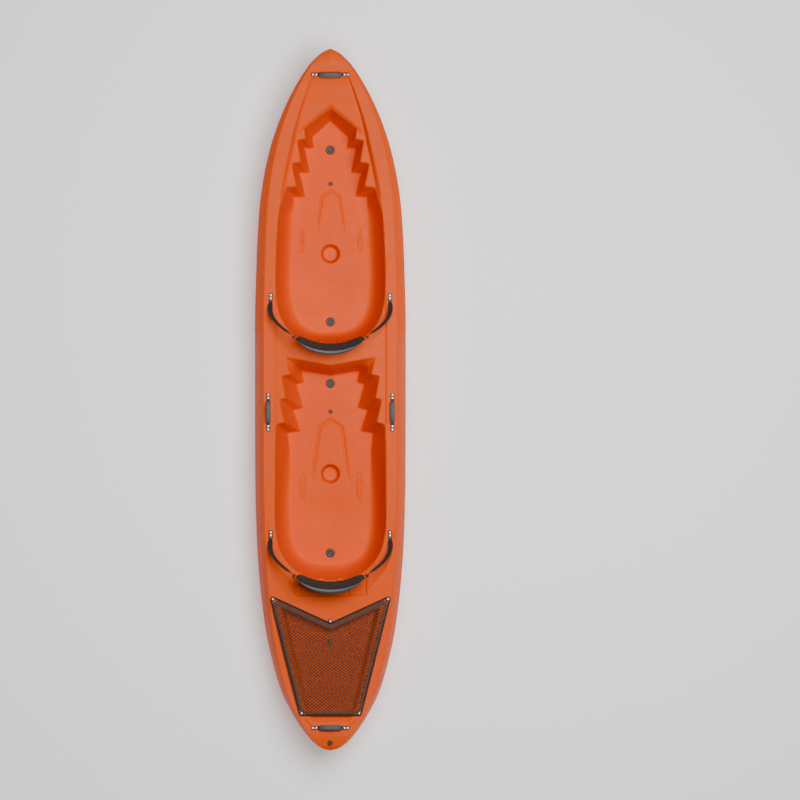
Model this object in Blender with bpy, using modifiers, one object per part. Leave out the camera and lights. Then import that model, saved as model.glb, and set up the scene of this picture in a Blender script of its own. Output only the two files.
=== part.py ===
"""Tandem sit-on-top kayak: one hollow moulded hull with the fittings that are screwed or plugged into it.

Metres. +X is the bow, +Y is port, +Z is up. The origin is on the floor under the middle of the hull.
"""

import math

import bmesh
import bpy
from mathutils import Matrix, Vector

# Hull
WALL = 0.004
GAP = 0.0003              # clearance between parts that fit or rest together
HALF_BEAM = 0.400
# Half-section below the band, from the keel: share of the half-beam, share of the depth
LOWER_SECTION = ((0.12, 0.0), (0.52, 0.035), (0.80, 0.085), (0.93, 0.21), (0.98, 0.42))
BAND_HEIGHT = 0.088       # inward-leaning band under the deck edge, amidships
BAND_SHARE = 0.36         # most of the depth that the band takes at the ends
BAND_LEAN = (0.012, 0.030)  # how far it leans in at the ends, and how much further amidships
MOST_LEAN = 0.45          # share of the half-beam
# Band from its foot up: share of the lean, share of the band's height left above
BAND_SECTION = ((0.0, 1.0), (0.62, 0.40), (1.0, 0.06), (1.18, 0.0))
LEAST_CAVITY = 0.07       # half-beam below which the ends of the hull are solid
ABOVE_HULL = 0.60         # cutters that open upwards end at this height
BELOW_HULL = -0.10

# Stations of the hull, bow to stern: x, half-beam, deck height, keel height
STATIONS = (
    (1.850, 0.004, 0.404, 0.362),
    (1.835, 0.037, 0.408, 0.335),
    (1.808, 0.071, 0.411, 0.292),
    (1.770, 0.108, 0.412, 0.238),
    (1.660, 0.182, 0.390, 0.128),
    (1.560, 0.234, 0.375, 0.064),
    (1.450, 0.280, 0.361, 0.032),
    (1.325, 0.320, 0.350, 0.014),
    (1.166, 0.355, 0.338, 0.004),
    (1.000, 0.377, 0.330, 0.000),
    (0.750, 0.391, 0.325, 0.000),
    (0.371, 0.400, 0.325, 0.000),
    (0.000, 0.400, 0.325, 0.000),
    (-0.400, 0.399, 0.325, 0.000),
    (-0.742, 0.390, 0.325, 0.000),
    (-0.970, 0.374, 0.322, 0.001),
    (-1.219, 0.343, 0.318, 0.008),
    (-1.378, 0.309, 0.321, 0.016),
    (-1.537, 0.262, 0.331, 0.030),
    (-1.664, 0.199, 0.345, 0.058),
    (-1.770, 0.127, 0.356, 0.125),
    (-1.823, 0.075, 0.350, 0.200),
    (-1.845, 0.035, 0.338, 0.255),
    (-1.850, 0.006, 0.330, 0.285),
)

# Wells: port half of the edge at deck level, from the bow end to the stern end, as (x, y)
WELL_FLOOR = 0.105
FRONT_EDGE = (
    (1.567, 0.000), (1.434, 0.138), (1.379, 0.131), (1.373, 0.175), (1.257, 0.156),
    (1.251, 0.205), (1.129, 0.180), (1.124, 0.236), (1.007, 0.269), (0.880, 0.281),
    (0.636, 0.290), (0.482, 0.278), (0.398, 0.236), (0.342, 0.187), (0.300, 0.000),
)
FRONT_FLOOR = (
    (1.488, 0.000), (1.400, 0.098), (1.342, 0.089), (1.344, 0.139), (1.212, 0.111),
    (1.211, 0.166), (1.084, 0.135), (1.083, 0.196), (0.985, 0.204), (0.880, 0.211),
    (0.636, 0.224), (0.482, 0.212), (0.403, 0.175), (0.360, 0.114), (0.348, 0.000),
)
REAR_EDGE = (
    (0.184, 0.000), (0.227, 0.239), (0.136, 0.217), (0.126, 0.260), (0.011, 0.239),
    (0.002, 0.272), (-0.117, 0.245), (-0.129, 0.287), (-0.265, 0.293), (-0.604, 0.293),
    (-0.728, 0.284), (-0.820, 0.254), (-0.898, 0.187), (-0.953, 0.000),
)
REAR_FLOOR = (
    (0.132, 0.000), (0.157, 0.156), (0.096, 0.141), (0.084, 0.181), (-0.041, 0.145),
    (-0.053, 0.199), (-0.166, 0.160), (-0.175, 0.232), (-0.265, 0.232), (-0.604, 0.232),
    (-0.728, 0.217), (-0.814, 0.181), (-0.856, 0.114), (-0.868, 0.000),
)
PANEL_EDGE = ((1.690, 0.000), (1.690, 0.098), (1.405, 0.188), (1.434, 0.138), (1.560, 0.000))
PANEL_FLOOR = ((1.684, 0.000), (1.684, 0.090), (1.399, 0.178), (1.424, 0.136), (1.552, 0.000))
PANEL_SLOPE = ((1.690, 0.388), (1.405, 0.326))
TANK_EDGE = ((-1.190, 0.000), (-1.066, 0.270), (-1.648, 0.132), (-1.704, 0.100), (-1.704, 0.000))
TANK_FLOOR = ((-1.232, 0.000), (-1.122, 0.234), (-1.640, 0.114), (-1.680, 0.084), (-1.680, 0.000))
TANK_SLOPE = ((-1.120, 0.252), (-1.680, 0.326))

CUP_HOLDERS = (0.780, -0.394)
CUP_MOUTH = 0.0495
CUP_BASE = 0.0355
CUP_DEPTH = 0.055
CUP_SIDES = 32
CLEAR_CUT = 0.04          # how far a cutter stands above the surface that it cuts

# Drainage: x of each scupper on the centreline, bore radius, plug head radius, plug length
SCUPPERS = {
    "front_toe": (1.332, 0.0190, 0.0240, 0.036),
    "front_seat": (0.416, 0.0190, 0.0240, 0.036),
    "rear_toe": (0.088, 0.0190, 0.0240, 0.036),
    "rear_seat": (-0.816, 0.0190, 0.0240, 0.036),
    "front_floor": (1.152, 0.0075, 0.0115, 0.024),
    "rear_floor": (-0.062, 0.0075, 0.0115, 0.024),
}
PLUG_SIDES = 20
PLUG_RISE = 0.28          # height of a plug's head, as a share of its radius
DRAIN_X = -1.806
DRAIN_BORE = 0.0100
DRAIN_SIDES = 24
DRAIN_FLANGE = 0.0130
DRAIN_FLANGE_THICK = 0.0016
DRAIN_LIFT = 0.0052       # the level flange clears the sloping deck by this much at its middle
DRAIN_TUBE = 0.022
DRAIN_STEM = 0.0070
DRAIN_SEAL = (0.0118, 0.0018)
DRAIN_CAP = (0.0125, 0.0135)

# Carry handles: x, y, turn about Z of the long axis, grip width
HANDLES = {
    "bow": (1.714, 0.0, 90, 0.030),
    "stern": (-1.730, 0.0, 90, 0.028),
    "port": (-0.064, 0.328, 0, 0.025),
    "starboard": (-0.064, -0.328, 0, 0.025),
}
HANDLE_AXIS = 0.007
GRIP_HALF = 0.0620
GRIP_THICK = 0.017
GRIP_RISE = (0.013, 0.025)
HANDLE_STRAP = (0.0645, 0.018, 0.003)
CAP_SPAN = (0.0650, 0.1010)
CAP_WIDTH = 0.022
CAP_HEIGHT = 0.006
CAP_SCREWS = (0.074, 0.092)
SCREW_RADIUS = 0.0052
SCREW_RISE = 0.0025
PLATE_ROUND = 0.0015
ARCH_POINTS = 9
GRIP_SIDES = 12

# Seats: x of the backrest's hinge line; the pad eyes and straps are placed from it
SEATS = {"front": 0.287, "rear": -0.966}
DECK_LEVEL = 0.325
BACK_RADIUS = 0.330
BACK_LEAN = 10
BACK_HEIGHT = 0.172
BACK_SPREAD = 33.5
BACK_COLUMNS = 13
BACK_SHELL = 0.004
FOOT_RISE = 0.014         # the shell's foot curves up by this much at its ends, to clear the deck
PAD_THICK = 0.017
PAD_BASE = 0.036
LIP_REACH = 0.020
PAD_EYE = (0.256, 0.315)
PAD_EYE_SIZE = (0.044, 0.022, 0.004)
PAD_EYE_SCREWS = (0.011, -0.008)
PAD_EYE_BRIDGE = (0.007, 0.018, 0.009)
STRAP_WIDTH = 0.024
STRAP_THICK = 0.002
STRAP_SAG = 0.034
STRAP_HEIGHT = 0.128      # height up the backrest where its straps pull
BUCKLE_SIZE = (0.008, 0.020, 0.034)
BUCKLE_SLOT = (0.030, 0.004, 0.025)
BUCKLE_TURN = 0.050       # how far past the shell's edge a buckle stands, as an angle

# Cargo net over the tank well: button anchors on the port side and centre, as (x, y)
NET_CORNERS = ((-1.168, 0.000), (-1.052, 0.304), (-1.653, 0.152))
NET_HEIGHT = ((-1.052, 0.3265), (-1.653, 0.3505))
BUNGEE_RADIUS = 0.004
BUTTON_NECK = 0.006
BUTTON_HEAD = 0.012
NET_THICK = 0.0016
NET_CORNER_CUT = 0.022
BUNGEE_STEP = 0.08
NET_HOOK_X = -1.270
NET_HOOK_SIZE = (0.026, 0.016, 0.005)

ORANGE = (0.88, 0.14, 0.015)
BLACK = (0.022, 0.022, 0.023)
GREY = (0.060, 0.060, 0.062)


def clear_scene():
    for obj in list(bpy.data.objects):
        bpy.data.objects.remove(obj, do_unlink=True)


def new_collection(name):
    collection = bpy.data.collections.new(name)
    bpy.context.scene.collection.children.link(collection)
    return collection


def material(name, colour, roughness, metallic=0.0):
    made = bpy.data.materials.new(name)
    made.use_nodes = True
    shader = made.node_tree.nodes["Principled BSDF"]
    shader.inputs["Base Color"].default_value = (*colour, 1.0)
    shader.inputs["Roughness"].default_value = roughness
    shader.inputs["Metallic"].default_value = metallic
    return made


def add_object(name, mesh, finish=None):
    """A part with a finish, or a hidden cutter without one."""
    obj = bpy.data.objects.new(name, mesh)
    if finish is None:
        CUTTERS.objects.link(obj)
        obj.hide_render = True
        obj.display_type = "WIRE"
    else:
        PARTS.objects.link(obj)
        mesh.materials.append(finish)
    return obj


def loft(name, rings, finish=None):
    """A solid through rings of the same number of points, with a flat cap at each end."""
    count = len(rings[0])
    points = [point for ring in rings for point in ring]
    faces = [tuple(range(count))]
    for ring in range(len(rings) - 1):
        here = ring * count
        after = here + count
        for side in range(count):
            following = (side + 1) % count
            faces.append((here + side, here + following, after + following, after + side))
    faces.append(tuple(range((len(rings) - 1) * count, len(rings) * count)))
    mesh = bpy.data.meshes.new(name)
    mesh.from_pydata(points, [], faces)
    solid = bmesh.new()
    solid.from_mesh(mesh)
    bmesh.ops.recalc_face_normals(solid, faces=solid.faces)
    solid.to_mesh(mesh)
    solid.free()
    return add_object(name, mesh, finish)


def turned(name, profile, sides, finish=None, ring=False):
    """A shape turned about Z from a profile of (radius, z) that runs down its outer side."""
    edges = [(index, index + 1) for index in range(len(profile) - 1)]
    if ring:
        edges.append((len(profile) - 1, 0))
    mesh = bpy.data.meshes.new(name)
    mesh.from_pydata([(radius, 0.0, z) for radius, z in profile], edges, [])
    obj = add_object(name, mesh, finish)
    screw = obj.modifiers.new("Turn", "SCREW")
    screw.steps = sides
    screw.render_steps = sides
    screw.use_merge_vertices = True
    screw.merge_threshold = 0.00001
    return obj


def box(name, size, centre, finish=None, bevel=0.0):
    mesh = bpy.data.meshes.new(name)
    solid = bmesh.new()
    bmesh.ops.create_cube(solid, size=1.0)
    bmesh.ops.transform(
        solid, matrix=Matrix.Translation(centre) @ Matrix.Diagonal((*size, 1.0)), verts=solid.verts
    )
    solid.to_mesh(mesh)
    solid.free()
    obj = add_object(name, mesh, finish)
    if bevel:
        rounding = obj.modifiers.new("Round", "BEVEL")
        rounding.width = bevel
        rounding.segments = 2
        rounding.limit_method = "ANGLE"
    return obj


def combine(obj, other, operation):
    step = obj.modifiers.new(other.name, "BOOLEAN")
    step.operation = operation
    step.solver = "EXACT"
    step.object = other


def smooth(obj, angle=35):
    obj.data.shade_smooth()
    obj.data.set_sharp_from_angle(angle=math.radians(angle))


def station_at(x):
    """Half-beam, deck height and keel height at x, on the straight runs between stations."""
    for ahead, behind in zip(STATIONS, STATIONS[1:]):
        if behind[0] <= x <= ahead[0]:
            share = (ahead[0] - x) / (ahead[0] - behind[0])
            return [a + (b - a) * share for a, b in zip(ahead[1:], behind[1:])]
    raise ValueError(x)


def deck_height(x):
    return station_at(x)[1]


def line_height(line, x):
    (x0, z0), (x1, z1) = line
    return z0 + (z1 - z0) * (x - x0) / (x1 - x0)


def mirrored(half):
    """The whole outline from its port half: out along the port side and back along the starboard side."""
    back = [(x, -y) for x, y in reversed(half) if y > 0]
    return [*half, *back]


def grown(outline, by):
    """The outline with every side moved out by the same distance."""
    area = sum(a[0] * b[1] - b[0] * a[1] for a, b in zip(outline, [*outline[1:], outline[0]]))
    turn = 1 if area > 0 else -1
    moved = []
    for index, here in enumerate(outline):
        corner = Vector(here)
        before = (corner - Vector(outline[index - 1])).normalized()
        after = (Vector(outline[(index + 1) % len(outline)]) - corner).normalized()
        out_before = Vector((before.y, -before.x)) * turn
        out_after = Vector((after.y, -after.x)) * turn
        middle = (out_before + out_after).normalized()
        reach = min(by / max(middle.dot(out_after), 0.3), 3 * by)
        moved.append(tuple(corner + middle * reach))
    return moved


def hull_section(x, half_beam, deck, keel):
    """One closed ring of the hull: up the port side from the keel and down the starboard side."""
    depth = deck - keel
    least, gain = BAND_LEAN
    lean = min(least + gain * (half_beam / HALF_BEAM) ** 2, MOST_LEAN * half_beam)
    band = min(BAND_HEIGHT, BAND_SHARE * depth)
    lower = [(out * half_beam, keel + up * depth) for out, up in LOWER_SECTION]
    upper = [(half_beam - inwards * lean, deck - left * band) for inwards, left in BAND_SECTION]
    side = [(0.0, keel), *lower, *upper, (0.0, deck)]
    port = [(x, y, z) for y, z in side]
    starboard = [(x, -y, z) for y, z in reversed(side[1:-1])]
    return port + starboard


def hull_body(name, inset, finish=None):
    """The hull's outer form, or its inner form when it is inset by the wall."""
    rings = []
    for x, half_beam, deck, keel in STATIONS:
        if inset and half_beam < LEAST_CAVITY:
            continue
        rings.append(hull_section(x, half_beam - inset, deck - inset, keel + inset))
    return loft(name, rings, finish)


def well(name, edge, floor, edge_height, floor_height, wall=0.0):
    """A cutter for a well. With a wall, it is the well's backing inside the hull."""
    outer = grown(mirrored(edge), wall) if wall else mirrored(edge)
    inner = grown(mirrored(floor), wall) if wall else mirrored(floor)
    low = [(x, y, floor_height(x) - wall) for x, y in inner]
    mouth = [(x, y, edge_height(x)) for x, y in outer]
    top = [(x, y, ABOVE_HULL) for x, y in outer]
    return loft(name, [low, mouth, top])


def cup_cutter(name, x, wall=0.0):
    base = WELL_FLOOR - CUP_DEPTH - wall
    profile = [
        (0.0, WELL_FLOOR + CLEAR_CUT),
        (CUP_MOUTH + wall, WELL_FLOOR + CLEAR_CUT),
        (CUP_MOUTH + wall, WELL_FLOOR),
        (CUP_BASE + wall, base),
        (0.0, base),
    ]
    cutter = turned(name, profile, CUP_SIDES)
    cutter.location.x = x
    return cutter


def post_cutter(name, x, radius, low, high, sides=PLUG_SIDES):
    cutter = turned(name, [(0.0, high), (radius, high), (radius, low), (0.0, low)], sides)
    cutter.location.x = x
    return cutter


def hull_voids(wall, prefix):
    """Every well, recess, cup and bore, at its own size or grown by the wall."""
    wells = [
        well(prefix + "front_well", FRONT_EDGE, FRONT_FLOOR, deck_height, lambda x: WELL_FLOOR, wall),
        well(prefix + "rear_well", REAR_EDGE, REAR_FLOOR, deck_height, lambda x: WELL_FLOOR, wall),
        well(
            prefix + "front_panel", PANEL_EDGE, PANEL_FLOOR, deck_height,
            lambda x: line_height(PANEL_SLOPE, x), wall,
        ),
        well(
            prefix + "tank_well", TANK_EDGE, TANK_FLOOR, deck_height,
            lambda x: line_height(TANK_SLOPE, x), wall,
        ),
    ]
    cups = [cup_cutter(f"{prefix}cup_{index}", x, wall) for index, x in enumerate(CUP_HOLDERS)]
    bores = [
        post_cutter(prefix + "bore_" + name, x, bore + wall, BELOW_HULL, WELL_FLOOR + CLEAR_CUT)
        for name, (x, bore, head, length) in SCUPPERS.items()
    ]
    return wells + cups + bores


def make_hull(finish):
    hull = hull_body("hull_shell", 0.0, finish)
    cavity = hull_body("hull_cavity", WALL)
    for backing in hull_voids(WALL, "backing_"):
        combine(cavity, backing, "DIFFERENCE")
    for void in hull_voids(0.0, "void_"):
        combine(hull, void, "DIFFERENCE")
    combine(hull, cavity, "DIFFERENCE")
    deck = deck_height(DRAIN_X)
    bore = post_cutter(
        "void_drain", DRAIN_X, DRAIN_BORE, deck - CLEAR_CUT, deck + CLEAR_CUT, DRAIN_SIDES
    )
    combine(hull, bore, "DIFFERENCE")
    smooth(hull, 25)


def make_scupper_plugs(finish):
    """Push-in bungs: a domed head with a finger dish, and a tapered stem in the bore."""
    for name, (x, bore, head, length) in SCUPPERS.items():
        stem = bore - 2 * GAP
        rise = PLUG_RISE * head
        profile = [
            (0.0, 0.45 * rise),
            (0.45 * head, 0.55 * rise),
            (0.62 * head, rise),
            (0.88 * head, 0.8 * rise),
            (head, 0.35 * rise),
            (head, GAP),
            (stem, GAP),
            (stem, -0.6 * length),
            (0.85 * stem, -length),
            (0.0, -length),
        ]
        plug = turned(f"scupper_plug_{name}", profile, PLUG_SIDES, finish)
        plug.location = (x, 0.0, WELL_FLOOR)
        smooth(plug)


def make_drain_plug(socket_finish, seal_finish, plug_finish):
    """A screw-in drain plug with its seal, in a flanged socket through the stern deck."""
    stem = DRAIN_STEM
    hole = stem + GAP
    tube = DRAIN_BORE - 2 * GAP
    under = -DRAIN_FLANGE_THICK
    socket = turned(
        "drain_socket",
        [(hole, 0.0), (DRAIN_FLANGE, 0.0), (DRAIN_FLANGE, under), (tube, under),
         (tube, -DRAIN_TUBE), (hole, -DRAIN_TUBE)],
        DRAIN_SIDES, socket_finish, ring=True,
    )
    seal, seal_top = DRAIN_SEAL
    ring = turned(
        "drain_seal",
        [(hole, seal_top), (seal, seal_top), (seal, GAP), (hole, GAP)],
        DRAIN_SIDES, seal_finish, ring=True,
    )
    foot = seal_top + GAP
    cap, top = DRAIN_CAP
    plug = turned(
        "drain_plug",
        [(0.0, top), (0.8 * cap, top), (cap, 0.9 * top), (cap, foot), (stem, foot),
         (stem, -0.8 * DRAIN_TUBE), (0.8 * stem, -0.9 * DRAIN_TUBE), (0.0, -0.9 * DRAIN_TUBE)],
        DRAIN_SIDES, plug_finish,
    )
    for obj in (socket, ring, plug):
        obj.location = (DRAIN_X, 0.0, deck_height(DRAIN_X) + DRAIN_LIFT)
        smooth(obj)


def deck_frame(name, x, y, turn=0.0, lift=0.0):
    """An empty standing on the deck, tilted with it and turned about its normal."""
    tilt = math.atan2(deck_height(x + 0.01) - deck_height(x - 0.01), 0.02)
    frame = bpy.data.objects.new(name, None)
    PARTS.objects.link(frame)
    frame.matrix_world = (
        Matrix.Translation((x, y, deck_height(x)))
        @ Matrix.Rotation(-tilt, 4, "Y")
        @ Matrix.Translation((0.0, 0.0, lift))
        @ Matrix.Rotation(math.radians(turn), 4, "Z")
    )
    return frame


def ribbon(name, path, width, thickness, finish=None):
    """A flat band of constant width along a path in the XZ plane."""
    rings = []
    for index, (x, z) in enumerate(path):
        ahead = Vector(path[min(index + 1, len(path) - 1)])
        behind = Vector(path[max(index - 1, 0)])
        along = (ahead - behind).normalized()
        rise = Vector((-along.y, along.x)) * thickness / 2
        rings.append([
            (x - rise.x, -width / 2, z - rise.y),
            (x - rise.x, width / 2, z - rise.y),
            (x + rise.x, width / 2, z + rise.y),
            (x + rise.x, -width / 2, z + rise.y),
        ])
    return loft(name, rings, finish)


def arch(half, ends, middle):
    """A shallow arch from -half to half, flat on top, as (x, z)."""
    path = []
    for index in range(ARCH_POINTS):
        share = 2 * index / (ARCH_POINTS - 1) - 1
        path.append((half * share, middle - (middle - ends) * abs(share) ** 3))
    return path


def make_grip(name, width, strap_path, finish):
    """A moulded grip bar with a slot along it for its strap."""
    rings = []
    for x, z in arch(GRIP_HALF, GRIP_RISE[0], GRIP_RISE[1]):
        swell = 1.0 - 0.18 * (abs(x) / GRIP_HALF) ** 4
        ring = []
        for side in range(GRIP_SIDES):
            angle = math.tau * (side + 0.5) / GRIP_SIDES
            across = abs(math.cos(angle)) ** 0.7 * math.copysign(1, math.cos(angle))
            up = abs(math.sin(angle)) ** 0.7 * math.copysign(1, math.sin(angle))
            ring.append((x, width / 2 * swell * across, z + GRIP_THICK / 2 * swell * up))
        rings.append(ring)
    grip = loft(name, rings, finish)
    strap_width, thickness = HANDLE_STRAP[1:]
    slot = ribbon(name + "_slot", strap_path, strap_width + 2 * GAP, thickness + 2 * GAP)
    combine(grip, slot, "DIFFERENCE")
    smooth(grip, 50)
    return grip, slot


def screwed_plate(name, x, span, width, height, screws, finish, extra=()):
    """A moulded plate with its screw heads. Every extra solid is joined to it."""
    plate = box(name, (span, width, height), (x, 0.0, height / 2), finish, bevel=PLATE_ROUND)
    heads = []
    for number, place in enumerate(screws):
        head = turned(
            f"{name}_screw_{number}",
            [(0.0, SCREW_RISE), (0.6 * SCREW_RADIUS, 0.8 * SCREW_RISE), (SCREW_RADIUS, 0.0),
             (SCREW_RADIUS, -0.001), (0.0, -0.001)],
            12,
        )
        head.location = (place, 0.0, height)
        heads.append(head)
    for other in (*heads, *extra):
        combine(plate, other, "UNION")
    return plate, heads


def make_handle(name, x, y, turn, width, finishes):
    moving = deck_frame(f"{name}_handle_pivot", x, y, turn, HANDLE_AXIS)
    fixed = deck_frame(f"{name}_handle_seat", x, y, turn, GAP)
    half, strap_width, thickness = HANDLE_STRAP
    path = arch(half, GRIP_RISE[0] - 0.004, GRIP_RISE[1])
    strap = ribbon(f"{name}_handle_strap", path, strap_width, thickness, finishes["webbing"])
    grip, slot = make_grip(f"{name}_handle_grip", width, path, finishes["grip"])
    for obj in (strap, grip, slot):
        obj.parent = moving
        obj.location.z = -HANDLE_AXIS
    ends = {"a": 1, "b": -1}
    for label, side in ends.items():
        middle = side * sum(CAP_SPAN) / 2
        screws = [side * place for place in CAP_SCREWS]
        cap, heads = screwed_plate(
            f"{name}_handle_cap_{label}", middle, CAP_SPAN[1] - CAP_SPAN[0], CAP_WIDTH, CAP_HEIGHT,
            screws, finishes["fitting"],
        )
        for obj in (cap, *heads):
            obj.parent = fixed


def back_point(angle, height, offset=0.0, lip=0.0):
    """A point of the backrest's curved sheet, before it leans. Offset is towards the sitter."""
    radius = BACK_RADIUS - offset
    return (
        BACK_RADIUS - radius * math.cos(angle) - lip * math.cos(angle),
        (radius + lip) * math.sin(angle),
        height,
    )


def back_width(share):
    """Half-angle of the backrest at a share of its height: widest above the middle, round at the corners."""
    return math.radians(BACK_SPREAD) * (1.0 - 0.42 * abs((share - 0.62) / 0.62) ** 2.4)


def back_grid(name, heights, offset, thickness, finish, foot_rise=0.0):
    """A curved sheet with a row of points at each height, made solid towards the stern."""
    points = []
    for row, (height, lip) in enumerate(heights):
        reach = back_width(height / BACK_HEIGHT)
        rise = foot_rise * (1 - row / (len(heights) - 1))
        for column in range(BACK_COLUMNS):
            across = 2 * column / (BACK_COLUMNS - 1) - 1
            points.append(back_point(reach * across, height + rise * across ** 2, offset, lip))
    faces = []
    for row in range(len(heights) - 1):
        for column in range(BACK_COLUMNS - 1):
            start = row * BACK_COLUMNS + column
            after = start + BACK_COLUMNS
            faces.append((start, after, after + 1, start + 1))
    mesh = bpy.data.meshes.new(name)
    mesh.from_pydata(points, [], faces)
    obj = add_object(name, mesh, finish)
    solid = obj.modifiers.new("Thickness", "SOLIDIFY")
    solid.thickness = thickness
    solid.offset = 1.0
    solid.use_even_offset = True
    smooth(obj, 40)
    return obj


def upright_rows(low, high, count):
    """Heights at even steps, each with no lip."""
    return [(low + (high - low) * row / (count - 1), 0.0) for row in range(count)]


def make_backrest(name, x, finishes):
    """A curved moulded back with a rolled top lip, and the foam pad on its front."""
    pivot = bpy.data.objects.new(f"{name}_backrest_pivot", None)
    PARTS.objects.link(pivot)
    pivot.location = (x, 0.0, DECK_LEVEL + 0.006)
    pivot.rotation_euler.y = -math.radians(BACK_LEAN)
    shell_rows = upright_rows(0.001, BACK_HEIGHT - 0.011, 7)
    shell_rows += [(BACK_HEIGHT - 0.004, 0.35 * LIP_REACH), (BACK_HEIGHT - 0.003, LIP_REACH)]
    shell = back_grid(
        f"{name}_backrest_shell", shell_rows, 0.0, -BACK_SHELL, finishes["shell"], FOOT_RISE
    )
    pad = back_grid(
        f"{name}_backrest_pad", upright_rows(PAD_BASE, BACK_HEIGHT - 0.016, 6),
        BACK_SHELL + 4 * GAP, -PAD_THICK, finishes["fabric"],
    )
    for obj in (shell, pad):
        obj.parent = pivot
    return pivot


def flat_strap(name, start, end, finish):
    """A webbing strap: flat on the deck where it leaves its eye, standing on edge where it meets the back."""
    start, end = Vector(start), Vector(end)
    steps = 10
    side = math.copysign(1.0, start.y)
    centres = []
    for step in range(steps + 1):
        share = step / steps
        point = start.lerp(end, share)
        point.y += side * STRAP_SAG * math.sin(math.pi * share)
        point.z -= 0.35 * STRAP_SAG * math.sin(math.pi * share)
        centres.append(point)
    rings = []
    for step, point in enumerate(centres):
        along = (centres[min(step + 1, steps)] - centres[max(step - 1, 0)]).normalized()
        share = min(1.6 * step / steps, 1.0)
        flat = Vector((0.0, 1.0, 0.0)).lerp(Vector((0.0, 0.1 * side, 1.0)), share)
        across = (flat - along * flat.dot(along)).normalized() * STRAP_WIDTH / 2
        through = along.cross(across).normalized() * STRAP_THICK / 2
        rings.append([
            point - across - through,
            point + across - through,
            point + across + through,
            point - across + through,
        ])
    return loft(name, rings, finish)


def make_seat(name, x, finishes):
    pivot = make_backrest(name, x, finishes)
    lean = Matrix.Rotation(-math.radians(BACK_LEAN), 4, "Y")
    angle = back_width(STRAP_HEIGHT / BACK_HEIGHT)
    for label, side in (("port", 1), ("starboard", -1)):
        eye_x = x + PAD_EYE[0]
        fixed = deck_frame(f"{name}_eye_seat_{label}", eye_x, side * PAD_EYE[1], 0.0, GAP)
        length, width, thick = PAD_EYE_SIZE
        bridge = box(
            f"{name}_eye_bridge_{label}", PAD_EYE_BRIDGE,
            (-length / 2 + 0.0036, 0.0, PAD_EYE_BRIDGE[2] / 2),
        )
        plate, heads = screwed_plate(
            f"{name}_pad_eye_{label}", 0.0, length, width, thick, PAD_EYE_SCREWS,
            finishes["fitting"], (bridge,),
        )
        for obj in (plate, bridge, *heads):
            obj.parent = fixed
        wing = Vector(back_point(side * (angle + BUCKLE_TURN), STRAP_HEIGHT, BACK_SHELL))
        buckle = box(
            f"{name}_strap_buckle_{label}", BUCKLE_SIZE, (0.0, 0.0, 0.0),
            finishes["fitting"], bevel=PLATE_ROUND,
        )
        slot = box(f"{name}_buckle_slot_{label}", BUCKLE_SLOT, (0.0, 0.0025 * side, 0.0))
        combine(buckle, slot, "DIFFERENCE")
        for obj in (buckle, slot):
            obj.parent = pivot
            obj.location = wing
            obj.rotation_euler.z = side * angle
        far = pivot.location + lean @ (wing + Vector((0.010, side * 0.009, 0.0)))
        near = Vector((
            eye_x - length / 2 - 0.0030, side * PAD_EYE[1], DECK_LEVEL + 0.0085,
        ))
        flat_strap(f"{name}_strap_{label}", near, far, finishes["webbing"])


def net_outline():
    """The corners of the net in order round it, starting at the centre of its bow side."""
    centre, corner, rear = NET_CORNERS
    return [centre, corner, rear, (rear[0], -rear[1]), (corner[0], -corner[1])]


def bungee_arcs():
    """The cord's centre line round each anchor's neck. It crosses straight from one arc to the next."""
    corners = [Vector(point) for point in net_outline()]
    reach = BUTTON_NECK + BUNGEE_RADIUS + 2 * GAP
    steps = 4
    arcs = []
    for index, corner in enumerate(corners):
        before = (corners[index - 1] - corner).normalized()
        after = (corners[(index + 1) % len(corners)] - corner).normalized()
        first = Vector((-before.y, before.x)) * reach
        last = Vector((after.y, -after.x)) * reach
        if index == 0:
            first, last = -first, -last
        sweep = first.angle_signed(last)
        turns = [Matrix.Rotation(-sweep * step / steps, 2) for step in range(steps + 1)]
        arcs.append([corner + turn @ first for turn in turns])
    return arcs


def net_edge(arcs):
    """The net's outline: just inside each straight run of the cord, and cut across at the four outer anchors."""
    inset = BUNGEE_RADIUS + 4 * GAP
    edge = []
    for index, arc in enumerate(arcs):
        start, end = arc[-1], arcs[(index + 1) % len(arcs)][0]
        along = (end - start).normalized()
        inward = Vector((-along.y, along.x)) * inset
        first, last = start + inward, end + inward
        if index == 0:
            edge.append(tuple(first - along * first.y / along.y))
        else:
            edge.append(tuple(first + along * NET_CORNER_CUT))
        if index < len(arcs) - 1:
            edge.append(tuple(last - along * NET_CORNER_CUT))
    return edge


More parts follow.
